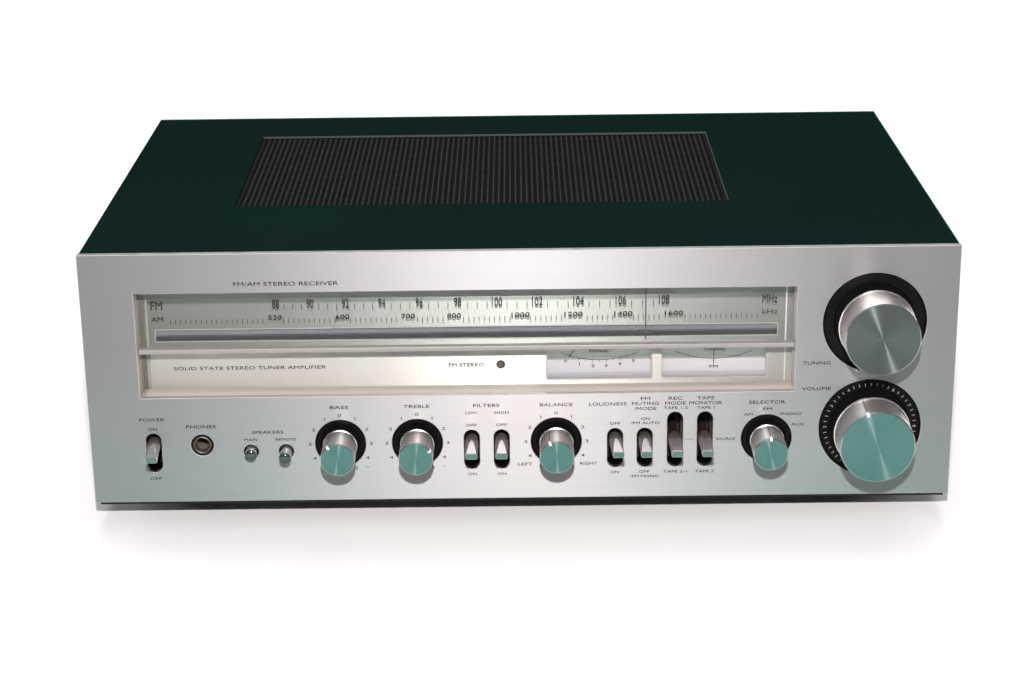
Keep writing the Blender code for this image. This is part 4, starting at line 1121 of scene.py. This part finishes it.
def cabinet_screws():
    """Two screws low on each side of the cover, and the ones that hold the back."""
    outside = span("cabinet_cover")[1].x
    for side, sign in (("left", -1), ("right", 1)):
        bm = bmesh.new()
        for depth in SIDE_SCREW_DEPTHS:
            screw(bm, depth, SIDE_SCREW_HEIGHT, 3.2)
        turn = rotation(90, "Z") @ rotation(90, "X")
        place = Matrix.Translation(at(sign * outside, 0, 0)) @ Matrix.Scale(sign, 4, (1, 0, 0)) @ turn
        bmesh.ops.transform(bm, matrix=place, verts=bm.verts)
        bmesh.ops.recalc_face_normals(bm, faces=bm.faces)
        piece(f"{side}_cover_screws", bm, [STEEL_BLACK, BLACK])
    bm = bmesh.new()
    for x, z in REAR_SCREWS:
        screw(bm, -x, z, 2.6)
    piece("rear_screws", bm, [ZINC, BLACK], place=facing_back(0, REAR, 0))


SOCKET_PROFILE = (
    (0, 0.5, 1),
    (1.7, 0.5, 1),
    (1.7, 5.0, 1),
    (2.7, 5.0, 2),
    (2.7, 7.8, 1),
    (3.5, 7.8, 1),
    (3.9, 7.4, 0),
    (3.9, 0.6, 0),
    (4.2, 0.6, 0),
    (4.2, 0.0, 0),
)
TERMINAL_PROFILE = ((0, 6.2), (4.6, 6.2), (5.2, 5.6), (5.2, 1.0), (4.4, 0.0), (0, 0.0))


def back_plate(name, node, stands, thickness, corner, chamfer, look):
    """A plate over a CAD node, standing out of the rear panel. Gives its half width, its height and
    the placing of its outer face."""
    low, high = span(node)
    half, height, middle = (high.x - low.x) / 2, high.z - low.z, (low.x + high.x) / 2
    sheet = flat_outline(name, [rectangle(-half, half, 0, height, corner)], thickness, chamfer)
    place = facing_back(middle, REAR + stands - thickness / 2, low.z)
    piece(name, sheet, [look], [node], place)
    return half, height, facing_back(middle, REAR + stands, low.z)


def evenly(half, height, columns, rows):
    """Places on a plate in evenly spread columns, and in rows given as shares of its height."""
    for column in range(columns):
        for row in rows:
            yield (2 * column + 1) / columns * half - half, height * row


def rear_sockets():
    """Phono sockets with pale inserts, and screw terminals, on the back."""
    half, height, place = back_plate("jack_plate", "jack_panel", 1.9, 1.6, 1.2, 0.2, STEEL_BLACK)
    bm = bmesh.new()
    for x, y in evenly(half, height, 5, (0.27, 0.73)):
        spin(bm, SOCKET_PROFILE, 32, centre=(x, y))
    bmesh.ops.recalc_face_normals(bm, faces=bm.faces)
    piece("jack_sockets", bm, [ZINC, BRASS, PALE_INK], place=place)

    half, height, place = back_plate("terminal_block", "speaker_terminals", 3.3, 3.0, 1.5, 0.4, BLACK)
    bm = bmesh.new()
    for x, y in evenly(half, height, 4, (0.28, 0.72)):
        spin(bm, TERMINAL_PROFILE, 20, centre=(x, y))
        block(bm, (x - 3.8, y - 0.4, 5.9), (x + 3.8, y + 0.4, 6.25), 1)
    piece("terminal_screws", bm, [ZINC, BLACK], place=place)


REAR_LABELS = (
    # text, local x (which runs the other way from the front's), height, width
    ("PHONO", -156, 79, 12),
    ("AUX", -128, 79, 7),
    ("TAPE 1", -100, 79, 13),
    ("TAPE 2", -72, 79, 13),
    ("PLAY", -44, 79, 9),
    ("SPEAKERS", 50, 79, 20),
    ("L", -164, 64, 2),
    ("R", -164, 46, 2),
    ("AC IN", 205, 42, 12),
)


def rear_printing():
    bm = bmesh.new()
    for text, x, z, width in REAR_LABELS:
        letters(bm, text, x, z, 2.0, width)
    piece("rear_printing", bm, [PALE_INK], place=facing_back(0, REAR + 0.05, 0))


def carried_over():
    """Materials for the CAD nodes that stay."""
    looks = {
        COVER: ["cabinet_cover"],
        STEEL_BLACK: ["chassis_tray", "heat_sink"],
        REAR_STEEL: ["rear_panel"],
        BEIGE: ["window_bezel"],
        DIVIDER: ["window_divider"],
        GLASS: ["dial_window"],
        DIAL: ["dial_plate"],
        RAIL: ["pointer_rail"],
        SLATE: ["dial_pointer", "signal_needle", "tuning_needle"],
        METER_FACE: ["signal_meter", "tuning_meter"],
        LENS: ["stereo_lamp"],
        ZINC: ["tuning_flywheel", "volume_pot", "selector_switch", "tuning_capacitor", "capacitor_rotor"],
        BLACK: ["dial_drum", "mains_gland", "antenna_bracket", "antenna_bar"],
        SWITCH: ["tone_control_board", "lever_switch_board", "left_switch_board"],
        PHENOLIC: ["main_board"],
        IRON: ["power_transformer"],
        CORD: ["dial_cord"],
        RUBBER: [f"{end}_{side}_foot" for end in ("front", "rear") for side in ("left", "right")],
    }
    for material, names in looks.items():
        for name in names:
            mesh = NODES[name].data
            mesh.materials.clear()
            mesh.materials.append(material)


# ------------------------ studio


FLOOR_SIZE, WORLD_STRENGTH = 8.0, 0.18


def studio():
    """A weak white surround and a plain pale floor."""
    scene = bpy.context.scene
    scene.view_settings.view_transform = "Standard"
    world = bpy.data.worlds.new("studio")
    world.use_nodes = True
    background = world.node_tree.nodes["Background"]
    background.inputs[0].default_value = (1.0, 1.0, 1.0, 1.0)
    background.inputs[1].default_value = WORLD_STRENGTH
    scene.world = world

    bm = bmesh.new()
    bmesh.ops.create_grid(bm, x_segments=1, y_segments=1, size=FLOOR_SIZE)
    mesh = bpy.data.meshes.new("floor")
    bm.to_mesh(mesh)
    bm.free()
    look = Look("pale_floor", (0.80, 0.81, 0.81), 0.85)
    look.tint(look.ramp(look.noise(2.0), 0.3, 0.7, 0.3), (0.78, 0.79, 0.79))
    mesh.materials.append(look.material)
    new_object("floor", mesh)


def area_light(name, place, target, size, power, colour=(1, 1, 1)):
    data = bpy.data.lights.new(name, "AREA")
    data.shape = "DISK"
    data.size = size
    data.energy = power
    data.color = colour
    light = new_object(name, data)
    light.location = place
    light.rotation_euler = (Vector(target) - Vector(place)).to_track_quat("-Z", "Y").to_euler()


def lights():
    """A small key light near the camera, a wide fill above and a softer one at each side."""
    middle = at(0, 0, 70)
    area_light("key", at(0, -1170, 790), middle, 0.045, 30.0, (1.0, 0.92, 0.92))
    area_light("top_fill", Vector((0, 1.4, 2.4)), Vector((0, 1.2, 0)), 2.6, 62.0)
    for side in (-1, 1):
        area_light("side_fill", Vector((side * 2.0, 1.3, 0.6)), at(0, 150, 70), 1.2, 26.0)


CAMERA_PLACE, CAMERA_LENS = (-0.2, -1168.8, 511.6), 77.82
CAMERA_AZIMUTH, CAMERA_ELEVATION, CAMERA_ROLL = 0.2, 19.585, -0.74


def camera():
    """The camera stands a little over a metre away, above the front, and looks down at it."""
    data = bpy.data.cameras.new("camera")
    data.sensor_width = 36.0
    data.lens = CAMERA_LENS
    data.clip_start = 0.05
    eye = new_object("camera", data)
    eye.location = at(*CAMERA_PLACE)
    turn = rotation(CAMERA_AZIMUTH, "Z")
    turn = turn @ rotation(90 - CAMERA_ELEVATION, "X")
    turn = turn @ rotation(CAMERA_ROLL, "Z")
    eye.rotation_euler = turn.to_euler()
    bpy.context.scene.camera = eye


def main():
    studio()
    lights()
    camera()
    carried_over()
    front_panel()
    panel_printing()
    for name in KNOBS:
        control_ring(name)
        knob(name)
    for name in LEVERS:
        lever(name)
    for name in BUTTONS:
        button(name)
    phones_socket()
    dial_printing()
    for kind in METER_ARCS:
        meter_printing(kind)
    plate_strips()
    slot_rim()
    slot_shade()
    for kind in METER_ARCS:
        meter_rim(kind)
    vent()
    top_edges()
    cabinet_screws()
    rear_sockets()
    rear_printing()


main()
